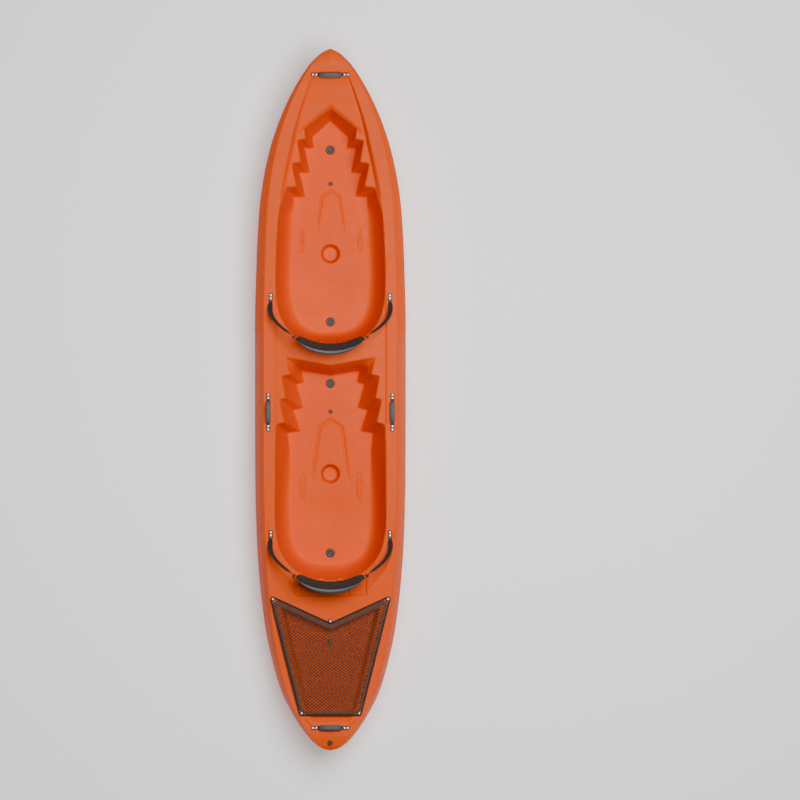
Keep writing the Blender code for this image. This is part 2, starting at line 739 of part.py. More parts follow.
def make_net(finishes):
    arcs = bungee_arcs()
    route = [point for arc in arcs for point in arc]
    points = []
    for index, here in enumerate(route):
        following = route[(index + 1) % len(route)]
        pieces = max(1, round((following - here).length / BUNGEE_STEP))
        for piece in range(pieces):
            flat = here.lerp(following, piece / pieces)
            points.append((flat.x, flat.y, line_height(NET_HEIGHT, flat.x)))
    curve = bpy.data.curves.new("net_bungee", "CURVE")
    curve.dimensions = "3D"
    spline = curve.splines.new("POLY")
    spline.points.add(len(points) - 1)
    for target, point in zip(spline.points, points):
        target.co = (*point, 1.0)
    spline.use_cyclic_u = True
    curve.bevel_depth = BUNGEE_RADIUS
    curve.bevel_resolution = 2
    add_object("net_bungee", curve, finishes["bungee"])

    inner = net_edge(arcs)
    low = [(x, y, line_height(NET_HEIGHT, x) - NET_THICK / 2) for x, y in inner]
    high = [(x, y, line_height(NET_HEIGHT, x) + NET_THICK / 2) for x, y in inner]
    loft("cargo_net", [low, high], finishes["net"])

    names = ("centre", "port_front", "port_rear", "starboard_rear", "starboard_front")
    for label, (x, y) in zip(names, net_outline()):
        base = deck_height(x) + GAP
        under = line_height(NET_HEIGHT, x) + BUNGEE_RADIUS + 0.0012 - base
        profile = [
            (0.0, under + 0.0055),
            (0.0035, under + 0.0050),
            (0.0050, under + 0.0030),
            (0.0110, under + 0.0030),
            (BUTTON_HEAD, under + 0.0015),
            (BUTTON_HEAD - 0.0008, under),
            (BUTTON_NECK, under),
            (BUTTON_NECK, 0.0020),
            (0.0085, 0.0012),
            (0.0085, 0.0003),
            (0.0, 0.0003),
        ]
        button = turned(f"net_anchor_{label}", profile, 20, finishes["fitting"])
        button.location = (x, y, base + 0.0006)
        smooth(button)

    hook_height = line_height(NET_HEIGHT, NET_HOOK_X) + NET_THICK / 2 + 2 * GAP
    hook = box(
        "net_hook", NET_HOOK_SIZE, (0.0, 0.0, NET_HOOK_SIZE[2] / 2), finishes["fitting"],
        PLATE_ROUND,
    )
    knob = turned(
        "net_hook_knob", [(0.0, 0.0095), (0.0045, 0.0085), (0.0060, 0.0050), (0.0060, 0.0030),
                          (0.0, 0.0030)], 16,
    )
    combine(hook, knob, "UNION")
    (near_x, near_z), (far_x, far_z) = NET_HEIGHT
    for obj in (hook, knob):
        obj.location = (NET_HOOK_X, 0.0, hook_height)
        obj.rotation_euler.y = math.atan2(far_z - near_z, near_x - far_x)


clear_scene()
PARTS = new_collection("kayak")
CUTTERS = new_collection("cutters")


def main():
    moulding = material("moulded_hull", ORANGE, 0.42)
    rubber = material("black_rubber", BLACK, 0.60)
    seal = material("seal_rubber", (0.03, 0.03, 0.03), 0.75)
    plastic = material("black_plastic", (0.035, 0.035, 0.037), 0.45)
    webbing = material("webbing", BLACK, 0.85)
    finishes = {
        "webbing": webbing,
        "grip": rubber,
        "fitting": plastic,
        "shell": material("back_shell", GREY, 0.50),
        "fabric": material("pad_fabric", (0.030, 0.026, 0.024), 0.90),
        "bungee": material("bungee", (0.012, 0.012, 0.012), 0.80),
        "net": material("net", (0.020, 0.018, 0.017), 0.85),
    }
    make_hull(moulding)
    make_scupper_plugs(rubber)
    make_drain_plug(plastic, seal, plastic)
    for name, (x, y, turn, width) in HANDLES.items():
        make_handle(name, x, y, turn, width, finishes)
    for name, x in SEATS.items():
        make_seat(name, x, finishes)
    make_net(finishes)


main()
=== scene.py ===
"""Looks of the tandem sit-on-top kayak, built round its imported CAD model.

Metres. +X is the bow, +Y is port, +Z is up, as in the CAD.
"""

import math

import bmesh
import bpy
import numpy as np
from mathutils import Matrix, Vector
from mathutils.bvhtree import BVHTree


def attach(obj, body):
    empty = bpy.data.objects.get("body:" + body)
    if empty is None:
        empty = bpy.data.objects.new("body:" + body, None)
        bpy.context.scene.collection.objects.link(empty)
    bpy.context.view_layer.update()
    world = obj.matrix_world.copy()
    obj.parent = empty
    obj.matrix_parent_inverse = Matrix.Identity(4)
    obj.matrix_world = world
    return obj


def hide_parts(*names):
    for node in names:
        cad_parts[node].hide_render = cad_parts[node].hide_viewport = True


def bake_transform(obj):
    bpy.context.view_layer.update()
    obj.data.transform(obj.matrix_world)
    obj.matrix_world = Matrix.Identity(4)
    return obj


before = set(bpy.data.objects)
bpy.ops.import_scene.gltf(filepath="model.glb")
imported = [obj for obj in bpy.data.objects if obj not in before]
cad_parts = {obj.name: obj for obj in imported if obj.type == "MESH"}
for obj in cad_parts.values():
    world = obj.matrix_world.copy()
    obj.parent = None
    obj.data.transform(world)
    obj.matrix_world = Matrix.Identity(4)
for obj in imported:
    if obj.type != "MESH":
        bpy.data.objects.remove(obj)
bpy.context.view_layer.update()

# ---------------------------------------------------------------- hull lines, as in the CAD
STATIONS = (  # x, half-beam, deck height, keel height
    (1.850, 0.004, 0.404, 0.362), (1.835, 0.037, 0.408, 0.335), (1.808, 0.071, 0.411, 0.292),
    (1.770, 0.108, 0.412, 0.238), (1.660, 0.182, 0.390, 0.128), (1.560, 0.234, 0.375, 0.064),
    (1.450, 0.280, 0.361, 0.032), (1.325, 0.320, 0.350, 0.014), (1.166, 0.355, 0.338, 0.004),
    (1.000, 0.377, 0.330, 0.000), (0.750, 0.391, 0.325, 0.000), (0.371, 0.400, 0.325, 0.000),
    (0.000, 0.400, 0.325, 0.000), (-0.400, 0.399, 0.325, 0.000), (-0.742, 0.390, 0.325, 0.000),
    (-0.970, 0.374, 0.322, 0.001), (-1.219, 0.343, 0.318, 0.008), (-1.378, 0.309, 0.321, 0.016),
    (-1.537, 0.262, 0.331, 0.030), (-1.664, 0.199, 0.345, 0.058), (-1.770, 0.127, 0.356, 0.125),
    (-1.823, 0.075, 0.350, 0.200), (-1.845, 0.035, 0.338, 0.255), (-1.850, 0.006, 0.330, 0.285),
)
WELL_FLOOR = 0.105
FRONT_EDGE = (
    (1.538, 0.000), (1.434, 0.138), (1.379, 0.131), (1.373, 0.175), (1.257, 0.156),
    (1.251, 0.205), (1.129, 0.180), (1.124, 0.236), (1.007, 0.269), (0.880, 0.281),
    (0.636, 0.290), (0.482, 0.276), (0.398, 0.240), (0.342, 0.187), (0.306, 0.100), (0.298, 0.000),
)
FRONT_FLOOR = (
    (1.490, 0.000), (1.400, 0.098), (1.342, 0.089), (1.344, 0.139), (1.212, 0.111),
    (1.211, 0.166), (1.084, 0.135), (1.083, 0.196), (0.985, 0.196), (0.880, 0.198),
    (0.636, 0.206), (0.500, 0.190), (0.424, 0.156), (0.378, 0.095), (0.364, 0.000),
)
REAR_EDGE = (
    (0.184, 0.000), (0.227, 0.239), (0.136, 0.217), (0.126, 0.260), (0.011, 0.239),
    (0.002, 0.272), (-0.117, 0.245), (-0.129, 0.288), (-0.265, 0.293), (-0.604, 0.293),
    (-0.728, 0.284), (-0.820, 0.254), (-0.898, 0.187), (-0.941, 0.100), (-0.950, 0.000),
)
REAR_FLOOR = (
    (0.132, 0.000), (0.157, 0.156), (0.096, 0.141), (0.084, 0.181), (-0.041, 0.145),
    (-0.053, 0.199), (-0.166, 0.160), (-0.175, 0.228), (-0.265, 0.218), (-0.604, 0.209),
    (-0.730, 0.198), (-0.806, 0.170), (-0.850, 0.112), (-0.864, 0.056), (-0.868, 0.000),
)
TANK_EDGE = ((-1.190, 0.000), (-1.066, 0.270), (-1.648, 0.132), (-1.704, 0.100), (-1.704, 0.000))
TANK_FLOOR = ((-1.232, 0.000), (-1.122, 0.234), (-1.630, 0.113), (-1.652, 0.088), (-1.652, 0.000))
TANK_SLOPE = ((-1.680, 0.326), (-1.120, 0.252))
CUP_HOLDERS = (0.780, -0.394)
SCUPPERS = {  # x, bore radius, head radius, length
    "front_toe": (1.332, 0.0190, 0.0240, 0.036),
    "front_seat": (0.416, 0.0190, 0.0240, 0.036),
    "rear_toe": (0.088, 0.0190, 0.0240, 0.036),
    "rear_seat": (-0.816, 0.0190, 0.0240, 0.036),
    "front_floor": (1.152, 0.0075, 0.0115, 0.024),
    "rear_floor": (-0.062, 0.0075, 0.0115, 0.024),
}
DRAIN_X = -1.806
DRAIN_BORE = 0.010
# Inner edge of the raised rim, from the rear well forward to the bow handle: x, y, half its width
RIM_STEP = (
    (-0.127, 0.2915, 0.0040), (0.600, 0.2915, 0.0040), (0.880, 0.2850, 0.0040),
    (1.034, 0.2680, 0.0060), (1.134, 0.2476, 0.0105), (1.235, 0.2274, 0.0098),
    (1.341, 0.2030, 0.0095), (1.415, 0.1882, 0.0090), (1.505, 0.1643, 0.0068),
    (1.617, 0.1272, 0.0050), (1.696, 0.0981, 0.0030),
)
PANEL_LINE = ((1.5627, 0.0), (1.4141, 0.180))     # where the bow panel's slope ends, at the toe of the well
BEVEL = 0.019
SURROUND = (      # line moulded round the rear seat, on the port side
    (-0.265, 0.352), (-0.631, 0.3424), (-0.726, 0.3302), (-0.820, 0.3149), (-0.899, 0.2783),
    (-0.947, 0.2359), (-0.996, 0.1930), (-1.033, 0.1749), (-1.037, 0.0),
)
TUNNELS = (       # outlines moulded in the floors: points, half-width at the front
    (((1.1175, 0.0), (1.0814, 0.0466), (0.848, 0.0795)), 0.0056),
    (((-0.1081, 0.0), (-0.1474, 0.0594), (-0.477, 0.1060)), 0.0074),
)
RIBS = ((0.851, 0.066, 0.1538, 0.0080), (-0.4665, 0.085, 0.1510, 0.0130))   # x, half-length, y, half-width
LUGS = ((0.3035, 0.3155), (-0.9560, -0.9400))       # x of the lugs on the rear walls of the wells
SEAM_X = 0.262    # the deck is made in two meshes that meet here, on its flat part


def smoothstep(low, high, value):
    share = np.clip((value - low) / (high - low), 0.0, 1.0)
    return share * share * (3.0 - 2.0 * share)


def monotone(points, at):
    """Smooth curve through (x, value) points that never overshoots them."""
    xs, ys = np.array(sorted(points), float).T
    steps = np.diff(xs)
    rates = np.diff(ys) / steps
    slopes = np.empty(len(xs))
    slopes[0], slopes[-1] = rates[0], rates[-1]
    same = rates[:-1] * rates[1:] > 0
    total = np.where(same, rates[:-1] + rates[1:], 1.0)
    slopes[1:-1] = np.where(same, 2 * rates[:-1] * rates[1:] / total, 0.0)
    index = np.clip(np.searchsorted(xs, at) - 1, 0, len(steps) - 1)
    step = steps[index]
    t = np.clip((at - xs[index]) / step, 0.0, 1.0)
    return (
        ys[index] * (1 + 2 * t) * (1 - t) ** 2
        + slopes[index] * step * t * (1 - t) ** 2
        + ys[index + 1] * t * t * (3 - 2 * t)
        + slopes[index + 1] * step * t * t * (t - 1)
    )


def half_beam(x):
    return monotone([(s[0], s[1]) for s in STATIONS], x)


def deck_height(x):
    return monotone([(s[0], s[2]) for s in STATIONS], x)


def keel_height(x):
    return monotone([(s[0], s[3]) for s in STATIONS], x)


def lean(x):
    beam = half_beam(x)
    return np.minimum(0.012 + 0.030 * (beam / 0.400) ** 2, 0.45 * beam)


def deck_edge(x):
    return half_beam(x) - 1.18 * lean(x)


def line_height(line, x):
    (x0, z0), (x1, z1) = line
    return z0 + (z1 - z0) * (x - x0) / (x1 - x0)


# ---------------------------------------------------------------- mesh helpers
def new_mesh(name, points, faces, material, smooth_angle=None):
    mesh = bpy.data.meshes.new(name)
    mesh.from_pydata([tuple(p) for p in points], [], [tuple(f) for f in faces])
    mesh.materials.append(material)
    mesh.validate()
    mesh.shade_smooth()
    if smooth_angle:
        mesh.set_sharp_from_angle(angle=math.radians(smooth_angle))
    obj = bpy.data.objects.new(name, mesh)
    bpy.context.scene.collection.objects.link(obj)
    return obj


class Solid:
    """Points and faces gathered from several shapes into one mesh."""

    def __init__(self):
        self.points = []
        self.faces = []
        self.uvs = {}

    def add(self, points, faces):
        start = len(self.points)
        self.points.extend([Vector(p) for p in points])
        self.faces.extend([tuple(start + i for i in face) for face in faces])
        return start

    def loft(self, rings, closed=False, caps=True):
        """Skin through rings of equal counts. Closed joins the last ring to the first."""
        count = len(rings[0])
        points = [p for ring in rings for p in ring]
        faces = []
        for ring in range(len(rings) if closed else len(rings) - 1):
            here, after = ring * count, (ring + 1) % len(rings) * count
            for side in range(count):
                following = (side + 1) % count
                faces.append((here + side, here + following, after + following, after + side))
        if caps and not closed:
            faces.append(tuple(reversed(range(count))))
            faces.append(tuple(range((len(rings) - 1) * count, len(rings) * count)))
        return self.add(points, faces)

    def turn(self, profile, sides, place):
        """A shape turned about Z from (radius, z) points that run down its outer side, then placed."""
        points, rows = [], []
        for radius, z in profile:
            if radius < 1e-6:
                rows.append([len(points)] * sides)
                points.append(place @ Vector((0.0, 0.0, z)))
            else:
                rows.append(list(range(len(points), len(points) + sides)))
                for side in range(sides):
                    angle = math.tau * side / sides
                    points.append(place @ Vector((radius * math.cos(angle), radius * math.sin(angle), z)))
        faces = []
        for upper, lower in zip(rows, rows[1:]):
            for side in range(sides):
                following = (side + 1) % sides
                face = [upper[side], lower[side], lower[following], upper[following]]
                faces.append(tuple(dict.fromkeys(face)))
        return self.add(points, [f for f in faces if len(f) > 2])

    def block(self, size, place, round_by=0.0, segments=2):
        """A box with rounded edges."""
        work = bmesh.new()
        bmesh.ops.create_cube(work, size=1.0)
        bmesh.ops.transform(work, matrix=Matrix.Diagonal((*size, 1.0)), verts=work.verts)
        if round_by:
            bmesh.ops.bevel(
                work, geom=work.edges[:], offset=round_by, segments=segments, affect="EDGES", profile=0.5
            )
        work.verts.index_update()
        points = [place @ v.co for v in work.verts]
        faces = [tuple(v.index for v in f.verts) for f in work.faces]
        work.free()
        return self.add(points, faces)

    def object(self, name, material, smooth_angle=35):
        return new_mesh(name, self.points, self.faces, material, smooth_angle)


def frames_along(path, closed=False, up=Vector((0, 0, 1))):
    """(point, across, over) at each point of a path, turning as little as possible."""
    count = len(path)
    tangents = []
    for i in range(count):
        ahead = path[(i + 1) % count] if closed else path[min(i + 1, count - 1)]
        behind = path[i - 1] if closed else path[max(i - 1, 0)]
        tangents.append((ahead - behind).normalized())
    over = (up - tangents[0] * up.dot(tangents[0])).normalized()
    found = []
    for i in range(count):
        over = (over - tangents[i] * over.dot(tangents[i])).normalized()
        found.append((path[i], tangents[i].cross(over).normalized(), over))
    return found


def tube_rings(path, radius, sides, closed=False):
    rings = []
    for point, across, over in frames_along(path, closed):
        rings.append([
            point + (across * math.cos(math.tau * s / sides) + over * math.sin(math.tau * s / sides)) * radius
            for s in range(sides)
        ])
    return rings


def webbing(name, centres, acrosses, widths, thick, material):
    """A flat woven strap with rounded selvedges. Its UV map is in metres, along and across."""
    count = len(centres)
    if isinstance(widths, float):
        widths = [widths] * count
    across_steps = 8
    rings, travelled = [], [0.0]
    for i in range(1, count):
        travelled.append(travelled[-1] + (centres[i] - centres[i - 1]).length)
    for i, centre in enumerate(centres):
        along = (centres[min(i + 1, count - 1)] - centres[max(i - 1, 0)]).normalized()
        across = (acrosses[i] - along * acrosses[i].dot(along)).normalized()
        through = along.cross(across).normalized()
        ring = []
        for side in (1, -1):
            for step in range(across_steps + 1):
                share = (2 * step / across_steps - 1) * side
                lift = thick / 2 * (1 - 0.75 * abs(share) ** 6)
                ring.append(centre + across * share * widths[i] / 2 + through * lift * side)
        rings.append(ring)
    solid = Solid()
    solid.loft(rings)
    obj = solid.object(name, material, 50)
    layer = obj.data.uv_layers.new(name="metres")
    ring_size = 2 * (across_steps + 1)
    for polygon in obj.data.polygons:
        for loop in polygon.loop_indices:
            vertex = obj.data.loops[loop].vertex_index
            row, step = divmod(vertex, ring_size)
            side_step = step % (across_steps + 1)
            layer.data[loop].uv = (travelled[row], side_step / across_steps * widths[row])
    return obj


# ---------------------------------------------------------------- materials
def shader_material(name, colour, roughness, **inputs):
    """(material, nodes, links, principled shader, object coordinates)."""
    material = bpy.data.materials.new(name)
    material.use_nodes = True
    nodes, links = material.node_tree.nodes, material.node_tree.links
    shader = nodes["Principled BSDF"]
    shader.inputs["Base Color"].default_value = (*colour, 1.0)
    shader.inputs["Roughness"].default_value = roughness
    for key, value in inputs.items():
        shader.inputs[key.replace("_", " ")].default_value = value
    place = nodes.new("ShaderNodeTexCoord")
    return material, nodes, links, shader, place.outputs["Object"]


def noise(nodes, links, where, scale, detail=2.0, rough=0.5):
    node = nodes.new("ShaderNodeTexNoise")
    node.inputs["Scale"].default_value = scale
    node.inputs["Detail"].default_value = detail
    node.inputs["Roughness"].default_value = rough
    links.new(where, node.inputs["Vector"])
    return node.outputs["Fac"]


def remap(nodes, links, value, low, high, from_low=0.3, from_high=0.7):
    node = nodes.new("ShaderNodeMapRange")
    node.inputs["From Min"].default_value = from_low
    node.inputs["From Max"].default_value = from_high
    node.inputs["To Min"].default_value = low
    node.inputs["To Max"].default_value = high
    links.new(value, node.inputs["Value"])
    return node.outputs["Result"]


def arithmetic(nodes, links, operation, first, second=None):
    node = nodes.new("ShaderNodeMath")
    node.operation = operation
    for socket, value in zip(node.inputs, (first, second)):
        if value is None:
            continue
        if isinstance(value, (int, float)):
            socket.default_value = value
        else:
            links.new(value, socket)
    return node.outputs["Value"]


def mix_colour(nodes, links, factor, first, second):
    node = nodes.new("ShaderNodeMix")
    node.data_type = "RGBA"
    links.new(factor, node.inputs["Factor"])
    node.inputs[6].default_value = (*first, 1.0)
    if isinstance(second, tuple):
        node.inputs[7].default_value = (*second, 1.0)
    else:
        links.new(second, node.inputs[7])
    return node.outputs[2]


def bump(nodes, links, height, distance, strength=1.0, below=None):
    node = nodes.new("ShaderNodeBump")
    node.inputs["Strength"].default_value = strength
    node.inputs["Distance"].default_value = distance
    links.new(height, node.inputs["Height"])
    if below is not None:
        links.new(below, node.inputs["Normal"])
    return node.outputs["Normal"]


def hull_material():
    """Rotationally moulded polyethylene: satin, with orange peel, slow waves and faint speckle."""
    material, nodes, links, shader, where = shader_material(
        "moulded_polyethylene", (0.76, 0.076, 0.0005), 0.42, Specular_IOR_Level=0.07
    )
    cloud = remap(nodes, links, noise(nodes, links, where, 3.0, 3.0), 0.0, 1.0)
    speckle = remap(nodes, links, noise(nodes, links, where, 900.0, 2.0), 0.0, 0.35, 0.55, 0.75)
    base = mix_colour(nodes, links, cloud, (0.74, 0.073, 0.0005), (0.78, 0.079, 0.0005))
    node = nodes.new("ShaderNodeMix")
    node.data_type = "RGBA"
    links.new(speckle, node.inputs["Factor"])
    links.new(base, node.inputs[6])
    node.inputs[7].default_value = (0.82, 0.098, 0.002, 1.0)
    links.new(node.outputs[2], shader.inputs["Base Color"])
    links.new(
        remap(nodes, links, noise(nodes, links, where, 22.0, 4.0), 0.36, 0.46), shader.inputs["Roughness"]
    )
    waves = bump(nodes, links, noise(nodes, links, where, 9.0, 1.0), 0.0010, 0.5)
    peel = bump(nodes, links, noise(nodes, links, where, 420.0, 2.0), 0.00012, 0.5, waves)
    links.new(peel, shader.inputs["Normal"])
    return material


def moulded_black(name, colour, roughness, grain, depth, **inputs):
    """Black moulded plastic or rubber with a fine grain and slightly uneven sheen."""
    material, nodes, links, shader, where = shader_material(name, colour, roughness, **inputs)
    tint = remap(nodes, links, noise(nodes, links, where, 60.0, 3.0), 0.0, 1.0)
    lighter = tuple(1.35 * c for c in colour)
    links.new(mix_colour(nodes, links, tint, colour, lighter), shader.inputs["Base Color"])
    links.new(
        remap(nodes, links, noise(nodes, links, where, 90.0, 4.0), roughness - 0.06, roughness + 0.06),
        shader.inputs["Roughness"],
    )
    links.new(bump(nodes, links, noise(nodes, links, where, grain, 3.0), depth, 0.6), shader.inputs["Normal"])
    return material


def webbing_material(name, colour):
    """Woven strap: ribs across it and yarns along it, from the strap's own metre coordinates."""
    material, nodes, links, shader, where = shader_material(name, colour, 0.85, Sheen_Weight=0.04)
    chart = nodes.new("ShaderNodeUVMap")
    chart.uv_map = "metres"
    parts = nodes.new("ShaderNodeSeparateXYZ")
    links.new(chart.outputs["UV"], parts.inputs["Vector"])
    along = arithmetic(nodes, links, "MULTIPLY", parts.outputs["X"], math.tau / 0.0022)
    across = arithmetic(nodes, links, "MULTIPLY", parts.outputs["Y"], math.tau / 0.0032)
    shifted = arithmetic(nodes, links, "MULTIPLY", arithmetic(nodes, links, "SINE", across), 1.6)
    weave = arithmetic(nodes, links, "SINE", arithmetic(nodes, links, "ADD", along, shifted))
    height = arithmetic(nodes, links, "ADD", weave, arithmetic(nodes, links, "SINE", across))
    shade = remap(nodes, links, height, 0.0, 1.0, -1.6, 1.6)
    fuzz = noise(nodes, links, where, 700.0, 3.0)
    mixed = arithmetic(nodes, links, "MULTIPLY", shade, fuzz)
    links.new(
        mix_colour(nodes, links, mixed, tuple(0.6 * c for c in colour), tuple(2.6 * c for c in colour)),
        shader.inputs["Base Color"],
    )
    links.new(bump(nodes, links, height, 0.00025, 0.8), shader.inputs["Normal"])
    return material


def fabric_material(name, colour, thread, sheen):
    """Plain weave in object space, with slight uneven dye."""
    material, nodes, links, shader, where = shader_material(name, colour, 0.88, Sheen_Weight=sheen)
    parts = nodes.new("ShaderNodeSeparateXYZ")
    links.new(where, parts.inputs["Vector"])
    waves = [
        arithmetic(
            nodes, links, "SINE", arithmetic(nodes, links, "MULTIPLY", parts.outputs[axis], math.tau / thread)
        )
        for axis in "XYZ"
    ]
    sideways = arithmetic(nodes, links, "MULTIPLY", waves[1], waves[2])
    flat = arithmetic(nodes, links, "MULTIPLY", waves[0], waves[1])
    weave = arithmetic(nodes, links, "ADD", sideways, flat)
    shade = remap(nodes, links, weave, 0.0, 1.0, -1.2, 1.2)
    cloud = noise(nodes, links, where, 35.0, 4.0)
    mixed = arithmetic(nodes, links, "MULTIPLY", shade, cloud)
    links.new(
        mix_colour(nodes, links, mixed, tuple(0.65 * c for c in colour), tuple(2.2 * c for c in colour)),
        shader.inputs["Base Color"],
    )
    links.new(bump(nodes, links, weave, 0.0003, 0.7), shader.inputs["Normal"])
    return material


def steel_material():
    """Stainless steel with turning marks and faint smears."""
    material, nodes, links, shader, where = shader_material("stainless_steel", (0.86, 0.86, 0.85), 0.22)
    shader.inputs["Metallic"].default_value = 1.0
    links.new(
        remap(nodes, links, noise(nodes, links, where, 260.0, 4.0), 0.40, 0.55), shader.inputs["Roughness"]
    )
    grain = noise(nodes, links, where, 2200.0, 2.0)
    links.new(bump(nodes, links, grain, 0.00004, 0.5), shader.inputs["Normal"])
    return material


def braid_material():
    """Braided sheath of the shock cord, painted lighter on the crests of its strands and darker in the
    grooves between them: painted highlight and painted shade.
    """
    material, nodes, links, shader, where = shader_material("shock_cord", (0.010, 0.010, 0.011), 0.75)
    chart = nodes.new("ShaderNodeUVMap")
    chart.uv_map = "metres"
    parts = nodes.new("ShaderNodeSeparateXYZ")
    links.new(chart.outputs["UV"], parts.inputs["Vector"])
    along = arithmetic(nodes, links, "MULTIPLY", parts.outputs["X"], math.tau / 0.0045)
    around = arithmetic(nodes, links, "MULTIPLY", parts.outputs["Y"], math.tau / 0.0063)
    right = arithmetic(nodes, links, "SINE", arithmetic(nodes, links, "ADD", along, around))
    left = arithmetic(nodes, links, "SINE", arithmetic(nodes, links, "SUBTRACT", along, around))
    braid = arithmetic(nodes, links, "MAXIMUM", right, left)
    # colour follows the braid's relief: painted highlight on the strands' crests, painted shade in the
    # grooves between them
    links.new(
        mix_colour(
            nodes, links, remap(nodes, links, braid, 0.0, 1.0, 0.2, 1.0),
            (0.006, 0.006, 0.006), (0.024, 0.024, 0.025),
        ),
        shader.inputs["Base Color"],
    )
    links.new(bump(nodes, links, braid, 0.0004, 0.9), shader.inputs["Normal"])
    return material


HULL = hull_material()
PLUG_RUBBER = moulded_black("plug_rubber", (0.030, 0.032, 0.034), 0.42, 600.0, 0.00005)
SEAL_RUBBER = moulded_black("seal_rubber", (0.020, 0.020, 0.020), 0.62, 500.0, 0.00005)
GRIP_RUBBER = moulded_black("grip_rubber", (0.050, 0.053, 0.054), 0.62, 700.0, 0.00010)
NYLON = moulded_black("black_nylon", (0.020, 0.020, 0.021), 0.40, 900.0, 0.00005)
SHELL_PLASTIC = moulded_black("back_shell", (0.040, 0.044, 0.049), 0.46, 500.0, 0.00008)
WEBBING = webbing_material("webbing", (0.010, 0.009, 0.009))
PAD_FABRIC = fabric_material("pad_fabric", (0.014, 0.010, 0.008), 0.0016, 0.04)
NET_CORD = fabric_material("net_cord", (0.066, 0.032, 0.017), 0.0012, 0.03)
HEM_FABRIC = fabric_material("hem_fabric", (0.095, 0.042, 0.024), 0.0014, 0.03)
THREAD = fabric_material("thread", (0.060, 0.052, 0.046), 0.0008, 0.05)
BRAID = braid_material()
STEEL = steel_material()


# ---------------------------------------------------------------- the deck's height
CELL = 0.002
FIELD_X = np.arange(-1.860, 1.8601, CELL)
FIELD_Y = np.arange(0.0, 0.4081, CELL)


def whole(half):
    """The full outline from its port half."""
    return [*half, *[(x, -y) for x, y in reversed(half) if y > 0]]


def eased(points, first):
    """The outline with the corners from one index on drawn as one smooth curve, to the centreline."""
    fixed = list(points[: first + 1])
    run = [points[first - 1], *points[first:], (points[-2][0], -points[-2][1])]
    for index in range(1, len(run) - 2):
        p0, p1, p2, p3 = [np.array(p) for p in run[index - 1 : index + 3]]
        for step in range(1, 7):
            t = step / 6
            fixed.append(tuple(0.5 * (
                2 * p1 + (p2 - p0) * t + (2 * p0 - 5 * p1 + 4 * p2 - p3) * t * t
                + (3 * p1 - p0 - 3 * p2 + p3) * t ** 3
            )))
    fixed[-1] = (fixed[-1][0], 0.0)
    return fixed


def line_distance(points, x, y, closed=False):
    """Distance to the nearest point of a polyline."""
    best = np.full(x.shape, 9.0)
    ends = [*points[1:], points[0]] if closed else points[1:]
    for (x0, y0), (x1, y1) in zip(points, ends):
        dx, dy = x1 - x0, y1 - y0
        share = np.clip(((x - x0) * dx + (y - y0) * dy) / max(dx * dx + dy * dy, 1e-12), 0.0, 1.0)
        best = np.minimum(best, np.hypot(x - x0 - share * dx, y - y0 - share * dy))
    return best


def signed_distance(outline, x, y):
    """Distance to a closed outline, positive inside."""
    inside = np.zeros(x.shape, bool)
    for (x0, y0), (x1, y1) in zip(outline, [*outline[1:], outline[0]]):
        if y0 == y1:
            continue
        crosses = (y0 > y) != (y1 > y)
        inside ^= crosses & (x < (x1 - x0) * (y - y0) / (y1 - y0) + x0)
    distance = line_distance(outline, x, y, closed=True)
    return np.where(inside, distance, -distance)


def carve(z, x, y, edge, floor, floor_height, profile):
    """Lowers z inside the edge to the floor. Profile gives the depth share at each share of the wall."""
    xs = [p[0] for p in edge]
    rows = slice(*np.searchsorted(FIELD_X, (min(xs) - 0.01, max(xs) + 0.01)))
    px, py = x[rows], y[rows]
    to_edge = np.maximum(signed_distance(whole(edge), px, py), 0.0)
    to_floor = np.maximum(-signed_distance(whole(floor), px, py), 0.0)
    share = np.where(to_edge > 0, to_edge / np.maximum(to_edge + to_floor, 1e-9), 0.0)
    depth = profile(share, px)
    z[rows] += (floor_height(px) - z[rows]) * depth


def front_profile(share, x):
    soft = smoothstep(1.075, 0.96, x)
    return 1 - (1 - share) ** (1 + 1.5 * soft)


def rear_profile(share, x):
    soft = smoothstep(-0.20, -0.60, x)
    curved = 1 - (1 - share) ** (1 + 1.5 * soft)
    folded = np.where(share < 0.42, 0.26 * share / 0.42, 0.26 + 0.74 * (share - 0.42) / 0.58)
    toe = smoothstep(0.120, 0.150, x)
    return curved + (folded - curved) * toe


def tank_profile(share, x):
    return share * share * (3 - 2 * share) * 0.5 + share * 0.5


def groove(x, y, points, half_width, depth):
    return -depth * np.exp(-((line_distance(points, x, y) / half_width) ** 2))


